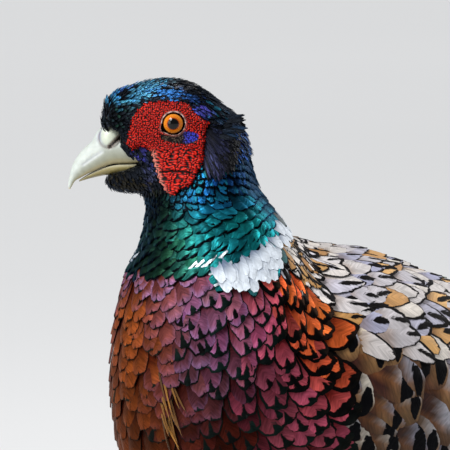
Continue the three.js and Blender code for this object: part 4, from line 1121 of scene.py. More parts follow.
def wattle_colour(x, z, dome, number, fold):
    """Blood-red skin with painted shade in the gaps between its bulbs and a painted highlight on some of their tops,
    black specks and painted shade in its folds, paler at its front edge, and dark skin with blue under the eye.
    """
    red = blend(linear("a80a05"), linear("fa2610"), number)
    # Painted shade: the skin turns near black in the low gaps between the bulbs.
    red = blend(linear("120102"), red, smooth(dome, 0.3, 1.0))
    # Painted highlight: pale pink on the tops of some bulbs.
    red = blend(red, linear("ee6450"), smooth(dome, 0.86, 1.0) * 0.4 * (number > 0.6))
    # Black specks in some pits of the folds, and painted shade in the low places of the rest of the folds.
    pits = (number > 0.6) & (fold > 0.4)
    red = blend(red, linear("0b0304"), smooth(dome, 0.7, 0.35) * np.where(pits, 1, 0.3 * fold))
    front = np.exp(-((x - np.interp(z, [319, 326, 334, 339], [17.5, 20.6, 23.0, 24.0])) / 1.5) ** 2)
    red = blend(red, linear("dc9484"), front * smooth(z, 341, 338) * 0.65 * smooth(dome, 0.1, 0.5))
    under = inside_by(x, z, CRESCENT)
    grain, speck = cells(x, z, 0.75, 1.4, 5)
    dark = blend(linear("120c0c"), linear("5a4c40"), smooth(grain, 0.5, 0.1) * (speck > 0.45))
    blue = blend(linear("121338"), linear("4449d4"), smooth(grain, 0.55, 0.15))
    dark = blend(dark, blue, smooth(x, 10.5, 7.5))
    lower_edge = smooth(under, 1.0, 0.3) * smooth(z - 343.4 - 0.25 * np.maximum(6 - x, 0), 1.4, 0.2)
    return blend(red, blend(dark, linear("050506"), lower_edge), smooth(under, -0.15, 0.25))


def both_sides(name, points, faces, material, slot, colour, node=None):
    """A bare part of the head on both its sides. The faces are those of the left one."""
    for side_name, mirror in SIDES:
        piece = new_piece(f"{name}_{side_name}", on_head(points.reshape(-1, 3), mirror),
                          [faces[:, ::-1] if mirror else faces], material, slot, {"ground": colour.reshape(-1, 3)})
        if node:
            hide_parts(f"{node}_{side_name}")


def make_wattle():
    """The red skin with its bulbs, folded below the eye, and the dark hollow under the lower lid."""
    step = 0.22
    x, z = np.meshgrid(np.arange(-6, 38.5, step), np.arange(317, 364.5, step), indexing="ij")
    inside = inside_by(x, z, WATTLE) + 0.2 * (np.sin(3.1 * x + 1.7 * z) + np.sin(1.3 * x - 2.9 * z))
    warp = 0.5 * np.sin(0.9 * x + 0.4 * z) + 0.4 * np.sin(0.55 * x - 1.1 * z)
    lower = smooth(z, 345, 340) * smooth(x, 25.5, 21.5)
    sag = z + 0.28 * np.sin(0.42 * x + 0.9) + 0.005 * (x - 12) ** 2 + 0.3 * warp
    near_round, number_round = cells(x + 0.2 * warp, z, 0.8, 1.0, 1)
    near_fold, number_fold = cells(x + warp, sag, 0.74, 2.3, 3)
    near = mix(near_round, near_fold * 0.92, lower)
    number = np.where(lower > 0.5, number_fold, number_round)
    crease = np.exp(-((z - 330.6 + 0.012 * (x - 13) ** 2) / 0.38) ** 2) * smooth(x, 4, 7) * smooth(x, 22, 19)
    dome = np.clip(1 - (near / 0.6) ** 2, 0, 1) * (1 - 0.9 * crease)
    under = smooth(inside_by(x, z, CRESCENT), -0.4, 0.6)
    rise = mix(-1.9, 1.0, smooth(inside, -0.9, 1.3)) + 0.5 * smooth(inside, 1, 5)
    rise = rise + 0.62 * dome * smooth(inside, -0.2, 1.0) * (1 - 0.8 * under) - 0.5 * under - 0.5 * crease
    out = head_side(x, z) + rise
    from_eye = np.hypot(x - EYE[0], z - EYE[2])
    from_lid = from_eye - lid_radius(np.arctan2(z - EYE[2], x - EYE[0]))
    socket = EYE[1] + np.sqrt(np.maximum(7.15 ** 2 - from_eye ** 2, 0)) + 0.35 * dome * smooth(from_eye, 6.2, 7.2)
    out = mix(out, np.maximum(out, socket), smooth(from_lid, 3.4, 0.4) * (from_eye < 10))
    colour = blend(wattle_colour(x, z, dome, number, lower), linear("8c5a50"), smooth(from_lid, 0.9, 0.2) * 0.6)
    faces = grid_faces(*x.shape)[:, ::-1]
    keep = (inside > -0.9) & (from_lid > -0.25)
    used, index = np.unique(faces[keep.ravel()[faces].all(1)], return_inverse=True)
    points = np.stack([x, out, z], -1).reshape(-1, 3)[used]
    both_sides("wattle_skin", points, index.reshape(-1, 4), WATTLE_SKIN, "wattle_skin",
               colour.reshape(-1, 3)[used], "wattle")


def make_lids():
    """The thick rim of both lids, pale and smooth."""
    sides = 12
    reach = lid_radius(lid_turn) + 0.05
    height = np.sqrt(np.maximum(7.25 ** 2 - reach ** 2, 4))
    way = EYE + np.stack([reach * np.cos(lid_turn), height, reach * np.sin(lid_turn)], -1)
    along = unit(np.roll(way, -1, 0) - np.roll(way, 1, 0))
    out = unit(np.cross(along, way - EYE))
    up = np.cross(out, along)
    ring = np.linspace(0, 2 * np.pi, sides, endpoint=False)
    size = 0.27 + 0.06 * np.sin(lid_turn * 23)[:, None]
    points = way[:, None] + out[:, None] * (1.1 * size * np.cos(ring))[..., None]
    points = points + up[:, None] * (size * np.sin(ring))[..., None]
    faces = grid_faces(LID_STEPS + 1, sides, True)[:, ::-1] % (LID_STEPS * sides)
    colour = blend(linear("86625a"), linear("cbb0aa"), smooth(np.sin(lid_turn * 11), -1, 1))
    both_sides("lids", points, faces, WATTLE_SKIN, "wattle_skin", np.repeat(colour, sides, axis=0))


def eye_glass(name):
    """An eye's wet, clear front over its iris: the clear coat has the look of the cornea."""
    material, tree = new_material(name)
    ground = add(tree, "ShaderNodeAttribute", {"attribute_name": "ground"})
    skin = add(tree, "ShaderNodeBsdfPrincipled", {},
               {"Base Color": ground, "Roughness": 0.35, "IOR": 1.38, "Specular IOR Level": 0.0, "Coat Weight": 1.0,
                "Coat Roughness": 0.02, "Coat IOR": 1.38})
    add(tree, "ShaderNodeOutputMaterial", {}, {"Surface": skin})
    return material


def make_eye():
    """The globe with the bulge of its cornea, and the pupil and iris as its colours."""
    fine = math.radians(60)
    away = np.concatenate([np.linspace(0, fine, 75), np.linspace(fine, math.pi, 16)[1:]])[:, None]
    turn = np.linspace(0, 2 * np.pi, 120, endpoint=False)
    radius = EYE_RADIUS * (1 + 0.066 * (1 + np.cos(np.pi * np.minimum(away / math.radians(44), 1))))
    out = radius * np.sin(away)
    points = EYE + np.stack([out * np.cos(turn), radius * np.cos(away) + 0 * turn, out * np.sin(turn)], -1)
    flat = np.where(away > np.pi / 2, 9, EYE_RADIUS * np.sin(away)) + 0 * turn
    ray = 0.5 + 0.25 * np.sin(31 * turn + 1.3 * np.sin(7 * turn)) + 0.25 * np.sin(53 * turn + 2.0 * np.sin(5 * turn))
    iris = blend(linear("8a300a"), blend(linear("c2560c"), linear("f0921c"), ray), smooth(flat, 2.4, 3.1))
    iris = blend(iris, linear("e8a040"), np.exp(-((flat - 4.0) / 0.25) ** 2) * 0.5)
    colour = blend(linear("030303"), iris, smooth(flat, 2.28, 2.42))
    colour = blend(colour, linear("060405"), smooth(flat, 4.28, 4.5))
    both_sides("eye_ball", points, grid_faces(*flat.shape, True), eye_glass("eye_wet_cornea_over_amber_iris"),
               "eye_globe", colour, "eye")


make_wattle()
make_lids()
make_eye()


# Bill: each row holds the ridge's x and z, the cutting edge's x and z, and half the width.

UPPER_BILL = np.array([
    [37.5, 345, 30.5, 333.4, 9.4], [41.5, 347.6, 34, 332.9, 8.4], [46.5, 348.9, 38.5, 332.7, 7.4],
    [49.6, 346.8, 42.5, 332.3, 6.6], [52, 342.4, 46.8, 330.9, 5.7], [55, 339.8, 50.2, 329.3, 4.9],
    [58.2, 336, 53.8, 327.6, 4], [60.8, 331.6, 57, 325.8, 3.1], [62.2, 326.6, 59.6, 324.2, 2.2],
    [62.9, 322.6, 61.2, 321.6, 1.2], [62.7, 320.3, 62, 320.1, 0.45]])
LOWER_BILL = np.array([
    [33, 327.4, 31.5, 332.5, 8.2], [36.4, 327, 36, 332.2, 7.4], [40.7, 326.9, 40.5, 331.9, 6.5],
    [45, 326.7, 45, 330.9, 5.4], [49, 326, 49.2, 329.1, 4.4], [52.8, 325.1, 53, 327.2, 3.4],
    [55.9, 324.2, 56, 325.4, 2.4], [57.8, 323.6, 57.8, 324.2, 1.5]])


def segment_distance(x, z, start, end):
    dx, dz = end[0] - start[0], end[1] - start[1]
    share = np.clip(((x - start[0]) * dx + (z - start[1]) * dz) / (dx * dx + dz * dz), 0, 1)
    return np.hypot(x - start[0] - share * dx, z - start[1] - share * dz)


def make_mandible(name, rows, shape, node):
    """Rings that arch from one cutting edge over the ridge to the other, closed on the inner side."""
    count, arch = 110, 72
    t = np.linspace(0, 1, count)[:, None]
    ridge_x, ridge_z, edge_x, edge_z, half = np.moveaxis(curve(rows, t * (len(rows) - 1)), -1, 0)
    angle = np.linspace(0, np.pi, arch + 1)
    height = np.sin(angle) ** 0.85
    across = np.maximum(half, 0.3) * np.cos(angle)
    top = np.stack([mix(edge_x, ridge_x, height), across, mix(edge_z, ridge_z, height)], -1)
    inner = np.stack([mix(edge_x, ridge_x, 0.15), 0 * edge_x, mix(edge_z, ridge_z, 0.15)], -1)
    normal = unit(np.cross(np.gradient(top, axis=0), np.gradient(top, axis=1)))
    normal = normal * np.sign((normal * (top - inner)).sum(-1, keepdims=True))
    move, colour = shape(top, height + 0 * t, t + 0 * height)
    points = np.concatenate([top + normal * move[..., None], inner], 1)
    colour = np.concatenate([colour, colour[:, :1]], 1).reshape(-1, 3)
    points = np.vstack([points.reshape(-1, 3), points[[0, -1]].mean(1)])
    faces, caps = grid_faces(count, arch + 2, True), end_fans(count, arch + 2)
    corner = points[faces[:, :3]] - points[-2]
    if (corner[:, 0] * np.cross(corner[:, 1], corner[:, 2])).sum() < 0:
        faces, caps = faces[:, ::-1], caps[:, ::-1]
    colour = np.vstack([colour, colour[[0, -arch - 2]]])
    piece = new_piece(name, on_head(points), [faces, caps], BILL_HORN, "bill_horn", {"ground": colour})
    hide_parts(node)


def upper_shape(p, height, along):
    """The swollen flap over the nostril with the slit behind it, and a crease towards the tip."""
    x, y, z = p[..., 0], np.abs(p[..., 1]), p[..., 2]
    u, v = swung(x - 43.3, z - 345.6, math.radians(-52))
    r = np.hypot(u / 5.7, v / 4.6)
    side = smooth(y, 1.2, 3.2)
    slit = segment_distance(x, z, (43.9, 340.3), (38.4, 345.0))
    crease = segment_distance(x, z, (47.5, 337.8), (56, 331.8))
    move = 2.1 * np.clip(1 - r ** 2, 0, 1) ** 0.55 * smooth(y, 0.2, 1.8)
    move = move - (0.3 * np.exp(-((r - 1.12) / 0.12) ** 2) + 1.3 * smooth(slit, 0.75, 0.25)) * side
    move = move - 0.22 * np.exp(-(crease / 0.5) ** 2)
    # Painted shade: a cool lavender patch on the side of the ridge behind the flap.
    violet = np.exp(-(((x - 47.6) / 1.8) ** 2 + ((z - 345.2) / 2.8) ** 2)) * side
    speck = np.exp(-(np.hypot(x - 44.2, z - 345.9) / 0.33) ** 2)
    colour = blend(linear("8c8c74"), linear("c8cfc8"), smooth(height, 0.06, 0.7))
    # Painted shade: olive along the cutting edge, a dark ring in the groove round the flap, and brown to black in the
    # nostril slit.
    for tone, amount in (
        ("cfd4d8", smooth(crease, 1.6, 0.2) * 0.5), ("94875c", smooth(height, 0.2, 0.03) * 0.85),
        ("6a66a8", violet * 0.75), ("d5dcc6", smooth(r, 1.0, 0.7) * 0.8 * side), ("54504a", speck * 0.8),
        ("6e625c", np.exp(-((r - 1.1) / 0.1) ** 2) * side * 0.7), ("8a6a58", smooth(slit, 1.1, 0.6) * side * 0.8),
        ("120c0a", smooth(slit, 0.62, 0.35) * side), ("cbb98e", smooth(along, 0.93, 1.0) * 0.6),
    ):
        colour = blend(colour, linear(tone), amount)
    return move, colour


def lower_shape(p, height, along):
    tone = blend(linear("a89a60"), linear("786c3c"), smooth(height, 0.2, 0.9))
    return 0 * height, blend(tone, linear("d8d4b8"), smooth(height, 0.3, 0.05) * 0.6)


make_mandible("upper_mandible", UPPER_BILL, upper_shape, "bill_upper")
make_mandible("lower_mandible", LOWER_BILL, lower_shape, "bill_lower")


# Wings

def on_flank(a, b, height):
    """A point a millimetres behind the wing's bend and b below its upper edge, at a height over the body."""
    station = np.where(a < 0, BEND - a / BEND_PACE, np.interp(a, layout_way, layout_station))
    angle = WING_TOP + b / WING_GIRTH
    point = body_shape(station, angle)
    forward, around = body_shape(station + 0.02, angle) - point, body_shape(station, angle + 0.02) - point
    return point + unit(np.cross(forward, around)) * (height + wing_swell(a, b))[..., None]


def laid_on(surface, a, b, angle, mirror=False):
    """A layout for vanes rooted at places of a surface, each swung by an angle."""
    a, b, angle = each(a), each(b), each(angle)

    def place(x, y, height):
        x, y = swung(x, y, angle)
        point = surface(a + y, b + x, height)
        return mirrored(point) if mirror else point

    return place


def covert_pattern(a, b):
    """Buff with black ovals at the bend of the wing, maroon-edged grey-buff further back, cream at its upper edge."""
    low, later = each(mix(1, 0.55, smooth(b, 100, 132))), each(smooth(a, 118, 128))
    above = each(b + random.normal(0, 4, len(b))) < 36

    def pattern(cell):
        luck, t, x = cell["luck"], cell["tip"], cell["x"]
        ground, marking, mark = flank_pattern(cell)
        cream, dark, rim = mantle_pattern(cell, None, 5 - 0.006 * a)
        ground = np.where(above[..., None], cream, ground * low[..., None])
        band = 1.2 + 0.6 * luck[:, 1] - np.abs(t - 2.6 - 0.03 * x ** 2)
        mark = np.where(above, np.where(cell["half"] > 7, np.maximum(rim, band), rim), mark)
        bow = t + 0.05 * x ** 2 + 2 * luck[:, 1]
        grey = blend(linear("8f8a84"), linear("a08c6c"), luck[:, 0])
        grey = blend(grey, linear("d8cdb8"), smooth(np.sin(bow * 1.15), 0.35, 0.9) * smooth(t, 2, 5) * 0.75)
        grey = blend(grey, linear("6e3426"), smooth(cell["far"], 2.6, 0.9))
        streak = 1.5 - 0.12 * t - np.abs(x) + 0.8 * np.sin(bow * 1.15 + 2)
        return (blend(ground, grey, later), np.where(above[..., None], dark, marking),
                np.where(later > 0.5, streak, mark))

    return pattern


def flight_pattern(dark, pale, spacing, edge_tone):
    """Barred flight feathers."""
    def pattern(cell):
        luck, x = cell["luck"], cell["x"]
        bar = np.cos(2 * np.pi * (cell["y"] + 1.6 * np.abs(x) * (x < 0)) / spacing + 6 * luck[:, 0])
        ground = linear(dark) * (0.85 + 0.3 * luck[:, 1])[..., None]
        ground = blend(ground, linear(edge_tone), smooth(cell["edge"], 1.7, 0.5) * 0.7)
        mark = (bar - 0.25) * spacing * 0.16 - 0.6 * smooth(x, -1.5, 1.0)
        return ground, linear(pale), np.minimum(mark, cell["edge"] - 1.2)

    return pattern


WING_LENGTH = 242


def wing_tier(count, lines, roots, lengths, width, lift, roll):
    """Roots and sizes of a row of long vanes, each lying over the one below it."""
    s = np.linspace(0, 1, count)
    start = mix(lines[0][0], lines[1][0], s)
    slope = (mix(lines[0][1], lines[1][1], s) - start) / WING_LENGTH
    a = mix(roots[0], roots[1], s)
    length = mix(lengths[0], lengths[1], s) + 2.5 * np.sin(2.4 * np.arange(count))
    return dict(a=a, b=start + slope * a, angle=np.arctan(slope), length=length, half=np.full(count, width / 2),
                lift=lift + roll * s)


# Where the first and the last vane of a tier begin and end across the wing.
PRIMARY_LINES = ((78, 43), (54, 20))
SECONDARY_LINES = ((73, 52), (18, 8))


def lay_tier(name, tier, pattern, material, mirror, rows, drop, **form):
    """Vanes of a wing, whose roots lie a drop below their tips."""
    bake_at = np.stack([0.02 + tier["b"] / 300 + 0.3 * mirror, 0.955 + tier["a"] / 8000], -1)
    lift = each(tier["lift"])
    return lay_feathers(name, laid_on(on_flank, tier["a"], tier["b"], tier["angle"], mirror), tier["length"],
                        tier["half"], pattern, material, "wing_feather", bake_at, rows=rows, sides=3,
                        lift=(lift - drop, lift), flip=mirror, loose=0.05, **form)


for side_name, mirror in SIDES:
    primaries = wing_tier(8, PRIMARY_LINES, (84, 70), (WING_LENGTH - 104, WING_LENGTH - 78), 15, -1.0, 1.8)
    made = lay_tier(f"wing_primaries_{side_name}", primaries, flight_pattern("5d4c3e", "b7a68c", 9.5, "8f7d66"),
                    WING_VANES, mirror, 56, 1.5, tip_start=0.82, ragged=0.12, camber=0.05, barb_lean=1.1, rise=1)
    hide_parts(f"wing_{side_name}")
    secondaries = wing_tier(11, SECONDARY_LINES, (70, 56), (108, 128), 21, 0.6, 1.8)
    lay_tier(f"wing_secondaries_{side_name}", secondaries, flight_pattern("6b5844", "b9a98e", 11, "a08a68"),
             WING_VANES, mirror, 48, 2.2, tip_start=0.84, tip_round=0.6, ragged=0.15, camber=0.05, barb_lean=1.1)
    for n, (start, length, width) in enumerate(((104, 58, 19), (92, 52, 18))):
        tier = wing_tier(10 - n, SECONDARY_LINES, (start, start - 10), (length, length + 6), width, 2.4 + 1.0 * n, 1.4)
        lay_tier(f"wing_coverts_{n}_{side_name}", tier, covert_pattern(tier["a"] + 40, tier["b"] + 60), FLANK_VANES,
                 mirror, 22, 3.0, tip_start=0.75, tip_round=0.6, camber=0.06)
    # The roots of these tiers stand in rows along and across the wing, every second one left out.
    for tier_name, reach, across, long, half, top, above, material, tip_start, tip_round in (
        ("shoulder", (-17, 100, 7.6), (34, 88, 8.2), 36, 9.4, 2.6, 60, FLANK_VANES, 0.6, 0.75),
        ("scapulars", (-17, 102, 8.0), (-13, 40, 4.3), 36, 5.2, 3.4, -60, MANTLE_VANES, 0.42, 1.0),
    ):
        a, b = np.meshgrid(np.arange(*reach), np.arange(*across), indexing="ij")
        odd = np.indices(a.shape).sum(0) % 2 == 0
        a, b = a[odd] + random.normal(0, 1.6, odd.sum()), b[odd] + random.normal(0, 0.9, odd.sum())
        lift = top * smooth(a, -22, 25) - 0.6 + 2.2 * smooth(a, 50, 80) * smooth(b, 0, 20)
        lift = lift - 1.8 * smooth(b, 6, -10) * smooth(a, 40, 80)
        tier = dict(a=a, b=b, angle=random.normal(0, 0.13, len(a)) - 0.05, lift=lift,
                    length=long * random.uniform(0.92, 1.1, len(a)), half=half * random.uniform(0.9, 1.08, len(a)))
        lay_tier(f"wing_{tier_name}_{side_name}", tier, covert_pattern(a, b + above), material, mirror, 16, 4.4,
                 tip_start=tip_start, tip_round=tip_round, ragged=0.3, camber=0.08)


# Tail

def on_tail(a, b, height):
    """A point a millimetres behind the tail's root along its bend, and b to the left of its middle."""
    start, end = math.radians(9), math.radians(15)
    turn = (end - start) / 450
    slope = start + turn * a
    x = -267.4 - (np.sin(slope) - math.sin(start)) / turn
    z = 182.5 + (np.cos(slope) - math.cos(start)) / turn
    over = height - 0.0042 * b * b
    return np.stack(np.broadcast_arrays(x - over * np.sin(slope), b, z + over * np.cos(slope)), -1)


def tail_pattern(cell):
    """Olive-buff vanes with narrow black bars, and loose reddish purple edges."""
    luck, half, aside = cell["luck"], cell["half"], np.abs(cell["x"])
    spacing = 19.0
    outer = half < 12
    bar = np.abs(np.mod(cell["y"] + 5 * luck[:, 0] + 0.35 * aside, spacing) - spacing / 2)
    mark = 1.9 - bar + 0.12 * (half - aside)
    mark = np.where(outer, mark - 0.3, np.minimum(mark, (half * 0.62 - aside) * 1.2))
    middle = np.where(outer, 0.75, smooth(aside, half * 0.72, half * 0.45))
    ground = blend(linear("7a4a44"), linear("a98a5e"), middle) * (0.9 + 0.2 * luck[:, 1])[..., None]
    return ground, linear("1a1210"), mark


# Each vane begins behind the root and beside the middle, swung by an angle, with a length, half width and height.
tail_rows = []
for n, length in enumerate((450, 412, 366, 318, 272, 230, 194, 165, 144)):
    for side in (-1, 1):
        level = n + min(n, 3) + (n < 3 and side < 0)
        tail_rows.append((22 - n, side * (3.2 + 1.35 * n), math.radians(side * (0.15 + 0.95 * n)), length - 22,
                          10.5 if n else 13.5, 5 - 1.1 * level))
a, b, angle, length, half, lift = np.array(tail_rows).T
tail = lay_feathers("tail_feathers", laid_on(on_tail, a, b, angle), length, half, tail_pattern, TAIL_VANES,
                    "tail_feather", np.stack([0.93 + 0.001 * np.arange(18), np.linspace(0.1, 0.9, 18)], -1), rows=130,
                    sides=3, lift=(each(lift), each(lift)), tip_start=0.35, tip_round=0.85, ragged=0.5, camber=0.1,
                    barb_lean=1.02, thickness=0.3, loose=0, droop=0)
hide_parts("tail")

covert_rows = []
for count, start, length, spread, lift in ((5, 16, 96, 15, 8.2), (6, 6, 74, 18, 9.6), (7, -4, 56, 22, 10.6)):
    for s in np.linspace(-1, 1, count):
        covert_rows.append((start + 4 * abs(s), spread * s, 0.10 * s, length * (1 - 0.2 * abs(s)), 9, lift))
for s in np.linspace(-1, 1, 7):
    covert_rows.append((4, 15 * s, 0.12 * s, 70 - 12 * abs(s), 8.5, -9.5 - 2 * abs(s)))
a, b, angle, length, half, lift = np.array(covert_rows).T
a, b = a + random.normal(0, 3.0, len(a)), b + random.normal(0, 1.2, len(a))
angle = angle + random.normal(0, 0.05, len(a))
length = length * random.uniform(0.85, 1.1, len(a))
under = lift < 0


def tail_covert_pattern(cell):
    ground, marking, mark = rump_pattern(cell, np.where(under, 0.3, 0.05), None)
    return ground * each(np.where(under, 0.5, 1))[..., None], marking, mark


lay_feathers("tail_coverts", laid_on(on_tail, a, b, angle), length, half, tail_covert_pattern, RUMP_VANES,
             "tail_feather", np.stack([0.96 + 0 * a, np.linspace(0.1, 0.9, len(a))], -1), rows=22,
             lift=(each(lift - 2 * np.sign(lift)), each(lift)), tip_start=0.4, tip_round=0.9, ragged=0.6, camber=0.1,
             loose=0.2)


# Legs

def scales(name, high, low):
    """Keratin scutes over a leg, dry and a little glossy, darker in the joints between them."""
    material, tree = new_material(name)
    place = add(tree, "ShaderNodeTexCoord").outputs["Object"]
    scutes = add(tree, "ShaderNodeTexVoronoi", {"feature": "DISTANCE_TO_EDGE"}, {"Vector": place, "Scale": 520.0})
    seam = add(tree, "ShaderNodeMapRange", {"interpolation_type": "SMOOTHSTEP"},
               {"Value": scutes.outputs["Distance"], "From Min": 0.02, "From Max": 0.16})
    dirt = add(tree, "ShaderNodeTexNoise", {}, {"Vector": place, "Scale": 160.0, "Detail": 3.0})
    share = add(tree, "ShaderNodeMath", {"operation": "MULTIPLY"}, {0: seam, 1: dirt})
    colour = add(tree, "ShaderNodeMix", {"data_type": "RGBA"}, {0: share, 6: (*linear(low), 1), 7: (*linear(high), 1)})
    relief = add(tree, "ShaderNodeBump", {}, {"Strength": 0.5, "Distance": 0.0004, "Height": seam})
    skin = add(tree, "ShaderNodeBsdfPrincipled", {}, {"Base Color": colour.outputs[2], "Roughness": 0.42, "IOR": 1.55,
                                                      "Coat Weight": 0.15, "Normal": relief})
    add(tree, "ShaderNodeOutputMaterial", {}, {"Surface": skin})
    return material


def horn(name, pale, dark):
    """Grown keratin in fine layers, smooth with a soft gloss, and growth lines along it."""
    material, tree = new_material(name)
    place = add(tree, "ShaderNodeTexCoord").outputs["Object"]
    stretched = add(tree, "ShaderNodeVectorMath", {"operation": "MULTIPLY"}, {0: place, 1: (160, 160, 700)})
    growth = add(tree, "ShaderNodeTexNoise", {}, {"Vector": stretched, "Scale": 1.0, "Detail": 3.0})
    colour = add(tree, "ShaderNodeMix", {"data_type": "RGBA"},
                 {0: growth, 6: (*linear(pale), 1), 7: (*linear(dark), 1)})
    relief = add(tree, "ShaderNodeBump", {}, {"Strength": 0.2, "Distance": 0.0002, "Height": growth})
    skin = add(tree, "ShaderNodeBsdfPrincipled", {}, {"Base Color": colour.outputs[2], "Roughness": 0.32, "IOR": 1.55,
                                                      "Coat Weight": 0.3, "Coat Roughness": 0.15, "Normal": relief})
    add(tree, "ShaderNodeOutputMaterial", {}, {"Surface": skin})
    return material


LEG_SCALES = scales("leg_scutes_grey_keratin", "8f8a7e", "4f4a42")
CLAW_HORN = horn("claw_horn_dark_keratin", "4a4038", "1f1a17")


def make_toe(foot, heading, length, joints, hind):
    s = np.linspace(0, 1, 26 if not hind else 14)
    swell = 0.55 * np.abs(np.sin(np.pi * joints * s)) + 0.18 * np.abs(np.sin(np.pi * joints * 4 * s))
    wide = mix(4.3, 2.5, s) + swell
    way = foot + heading * (length * s)[:, None]
    way[:, 2] = mix(11 if hind else 8, mix(3.2, 2, s), smooth(s, 0, 0.7 if hind else 0.3))
    points, quads, caps = tube_points(way, wide, wide * 0.92, 18, [0, 0, 1.0])
    points[:, 2] = np.maximum(points[:, 2], 0)
    return points, quads, caps


def make_claw(root, heading, length, radius, drop):
    s = np.linspace(0, 1, 12)
    way = root + heading * (length * s)[:, None]
    way[:, 2] -= drop * s * s
    size = radius * (1 - 0.86 * s ** 1.2)
    return tube_points(way, size, size * 1.05, 14, [0, 0, 1.0])


def make_leg(side_name, side):
    """One leg with its toes, claws and spur, and the coat of its thigh."""
    foot, heel, hip = leg_lines(side)
    up, shin = unit(heel - foot), unit(hip - heel)
    scutes = 16
    s = np.linspace(6, 62, scutes * 5 + 1)
    ledge = 0.42 * np.mod((s - 6) / 56 * scutes, 1) ** 3 + 0.5 * smooth(s, 54, 62)
    size = 4.25 + ledge + 0.5 * smooth(s, 14, 6)
    way = np.vstack([foot + up * s[:, None], heel - up * 3, heel + shin * 2, heel + shin * 7, heel + shin * 10])
    parts = [tube_points(way, np.append(size, [5.6, 5.7, 5.0, 4.4]), np.append(size + 0.7, [6.6, 6.4, 5.4, 4.6]), 24,
                         [1.0, 0, 0])]
    s = np.linspace(-4, 8, 9)
    bulge = np.sin(np.pi * (s + 4) / 13)
    parts.append(tube_points(foot + up * s[:, None], 4.1 + 1.4 * bulge, 4.9 + 1.5 * bulge, 24, [1.0, 0, 0]))
    claws = []
    for angle, length, joints in ((2, 46, 3), (-30, 33, 2), (31, 36, 4), (176, 15, 1)):
        hind = angle > 90
        turn = math.radians(side * angle)
        heading = np.array([math.cos(turn), math.sin(turn), 0])
        parts.append(make_toe(foot, heading, length, joints, hind))
        root = foot + heading * (length - 0.8)
        root[2] = 2.2
        claws.append(make_claw(root, heading, 7.8 if hind else 12, 1.56 if hind else 1.95, 1.5))
    inward = unit(np.array([-0.86, -side * 0.48, 0.16]))
    claws.append(make_claw(foot + up * 26, inward, 15, 3, -2.5))
    leg = new_piece(f"leg_{side_name}", *joined(parts), LEG_SCALES, "leg_scale", {}, smooth_angle=50)
    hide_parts(f"shank_{side_name}", f"foot_{side_name}")
    nails = new_piece(f"claws_{side_name}", *joined(claws), CLAW_HORN, "claw_horn", {}, smooth_angle=50)
    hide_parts(*(f"claw_{toe_name}_{side_name}" for toe_name in ("middle", "inner", "outer", "hind")),
                f"spur_{side_name}")

    up_thigh, column = (v.ravel() for v in np.meshgrid(np.linspace(9, 74, 13), np.arange(22), indexing="ij"))
    around = (column + 0.5 * np.repeat(np.arange(13) % 2, 22)) / 22
    across = unit(np.cross(-shin, [1.0, 0, 0]))
    front = np.cross(across, -shin)

    def place(x, y, height):
        s = np.maximum(each(up_thigh) - y, 3)
        wide, deep = thigh_size(s)
        turn = 2 * np.pi * each(around) + x / np.maximum(deep, 8)
        out = across * (np.sin(turn) * (wide + height))[..., None] + front * (np.cos(turn) * (deep + height))[..., None]
        return heel + shin * s[..., None] + out

    lay_feathers(f"coat_thigh_{side_name}", place, np.interp(up_thigh, [9, 40], [9, 24]),
                 np.interp(up_thigh, [9, 40], [1.6, 4.4]), thigh_pattern, BELLY_VANES, "thigh_feather",
                 np.stack([0.1 + 0.3 * (side < 0) + 0.2 * around, 0.96 + 0.0003 * up_thigh], -1), rows=8, sides=1,
                 lift=(-2.4, 0.2), tip_start=0.6, ragged=0.6)


make_leg("left", 1)
make_leg("right", -1)


# Camera, floor and light

def point_at(thing, target):
    thing.rotation_euler = (Vector(target) - thing.location).to_track_quat("-Z", "Y").to_euler()


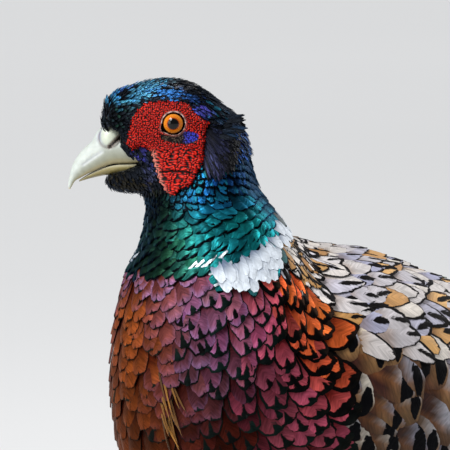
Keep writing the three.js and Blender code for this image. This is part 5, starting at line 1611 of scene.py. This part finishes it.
VIEW_TURN, VIEW_RISE = math.radians(40), math.radians(6)
DISTANCE = 3.5
FRAME_WIDTH = 0.207
towards = Vector((math.sin(VIEW_TURN) * math.cos(VIEW_RISE), math.cos(VIEW_TURN) * math.cos(VIEW_RISE),
                  math.sin(VIEW_RISE)))
target = Vector(placed(np.array([-7.05, 5.9, 303.54])))
camera = new_object("camera", bpy.data.cameras.new("camera"))
camera.data.lens = 36 * DISTANCE / FRAME_WIDTH
camera.data.clip_end = 60
camera.location = target + towards * DISTANCE
point_at(camera, target)
bpy.context.scene.camera = camera
bpy.context.scene.view_settings.view_transform = "Standard"

left_of_view = Vector((math.cos(VIEW_TURN), -math.sin(VIEW_TURN), 0))


def new_light(name, kind, power, aside, near, up):
    """A light aimed at the bird, placed to the left of the view, towards the camera and up from its target."""
    light = new_object(name, bpy.data.lights.new(name, kind))
    light.data.energy = power
    light.location = target + left_of_view * aside + towards * near + Vector((0, 0, up))
    point_at(light, target)
    return light.data


new_light("softbox_key", "SUN", 2.95, 1.1, 1.0, 1.9).angle = math.radians(28)
new_light("softbox_side", "AREA", 9, 1.3, 0.9, 0.35).size = 0.9
new_light("softbox_rim", "AREA", 16, -1.3, -0.9, 0.9).size = 1.0

world = bpy.data.worlds.new("studio")
world.use_nodes = True
world.node_tree.nodes["Background"].inputs["Color"].default_value = (0.86, 0.9, 0.95, 1)
world.node_tree.nodes["Background"].inputs["Strength"].default_value = 0.24
bpy.context.scene.world = world

floor_material, floor_tree = new_material("studio_floor_matt_paint")
floor_grain = add(floor_tree, "ShaderNodeTexNoise", {}, {"Scale": 40.0, "Detail": 3.0})
floor_shade = add(floor_tree, "ShaderNodeMapRange", {}, {"Value": floor_grain, "To Min": 0.74, "To Max": 0.78})
floor_paint = add(floor_tree, "ShaderNodeBsdfPrincipled", {}, {"Base Color": floor_shade, "Roughness": 0.8})
add(floor_tree, "ShaderNodeOutputMaterial", {}, {"Surface": floor_paint})
floor_mesh = bpy.data.meshes.new("studio_floor")
floor_mesh.from_pydata([(-20, -20, 0), (20, -20, 0), (20, 20, 0), (-20, 20, 0)], [], [(0, 1, 2, 3)])
floor_mesh.materials.append(floor_material)
studio_floor = new_object("studio_floor", floor_mesh)

bpy.context.view_layer.update()
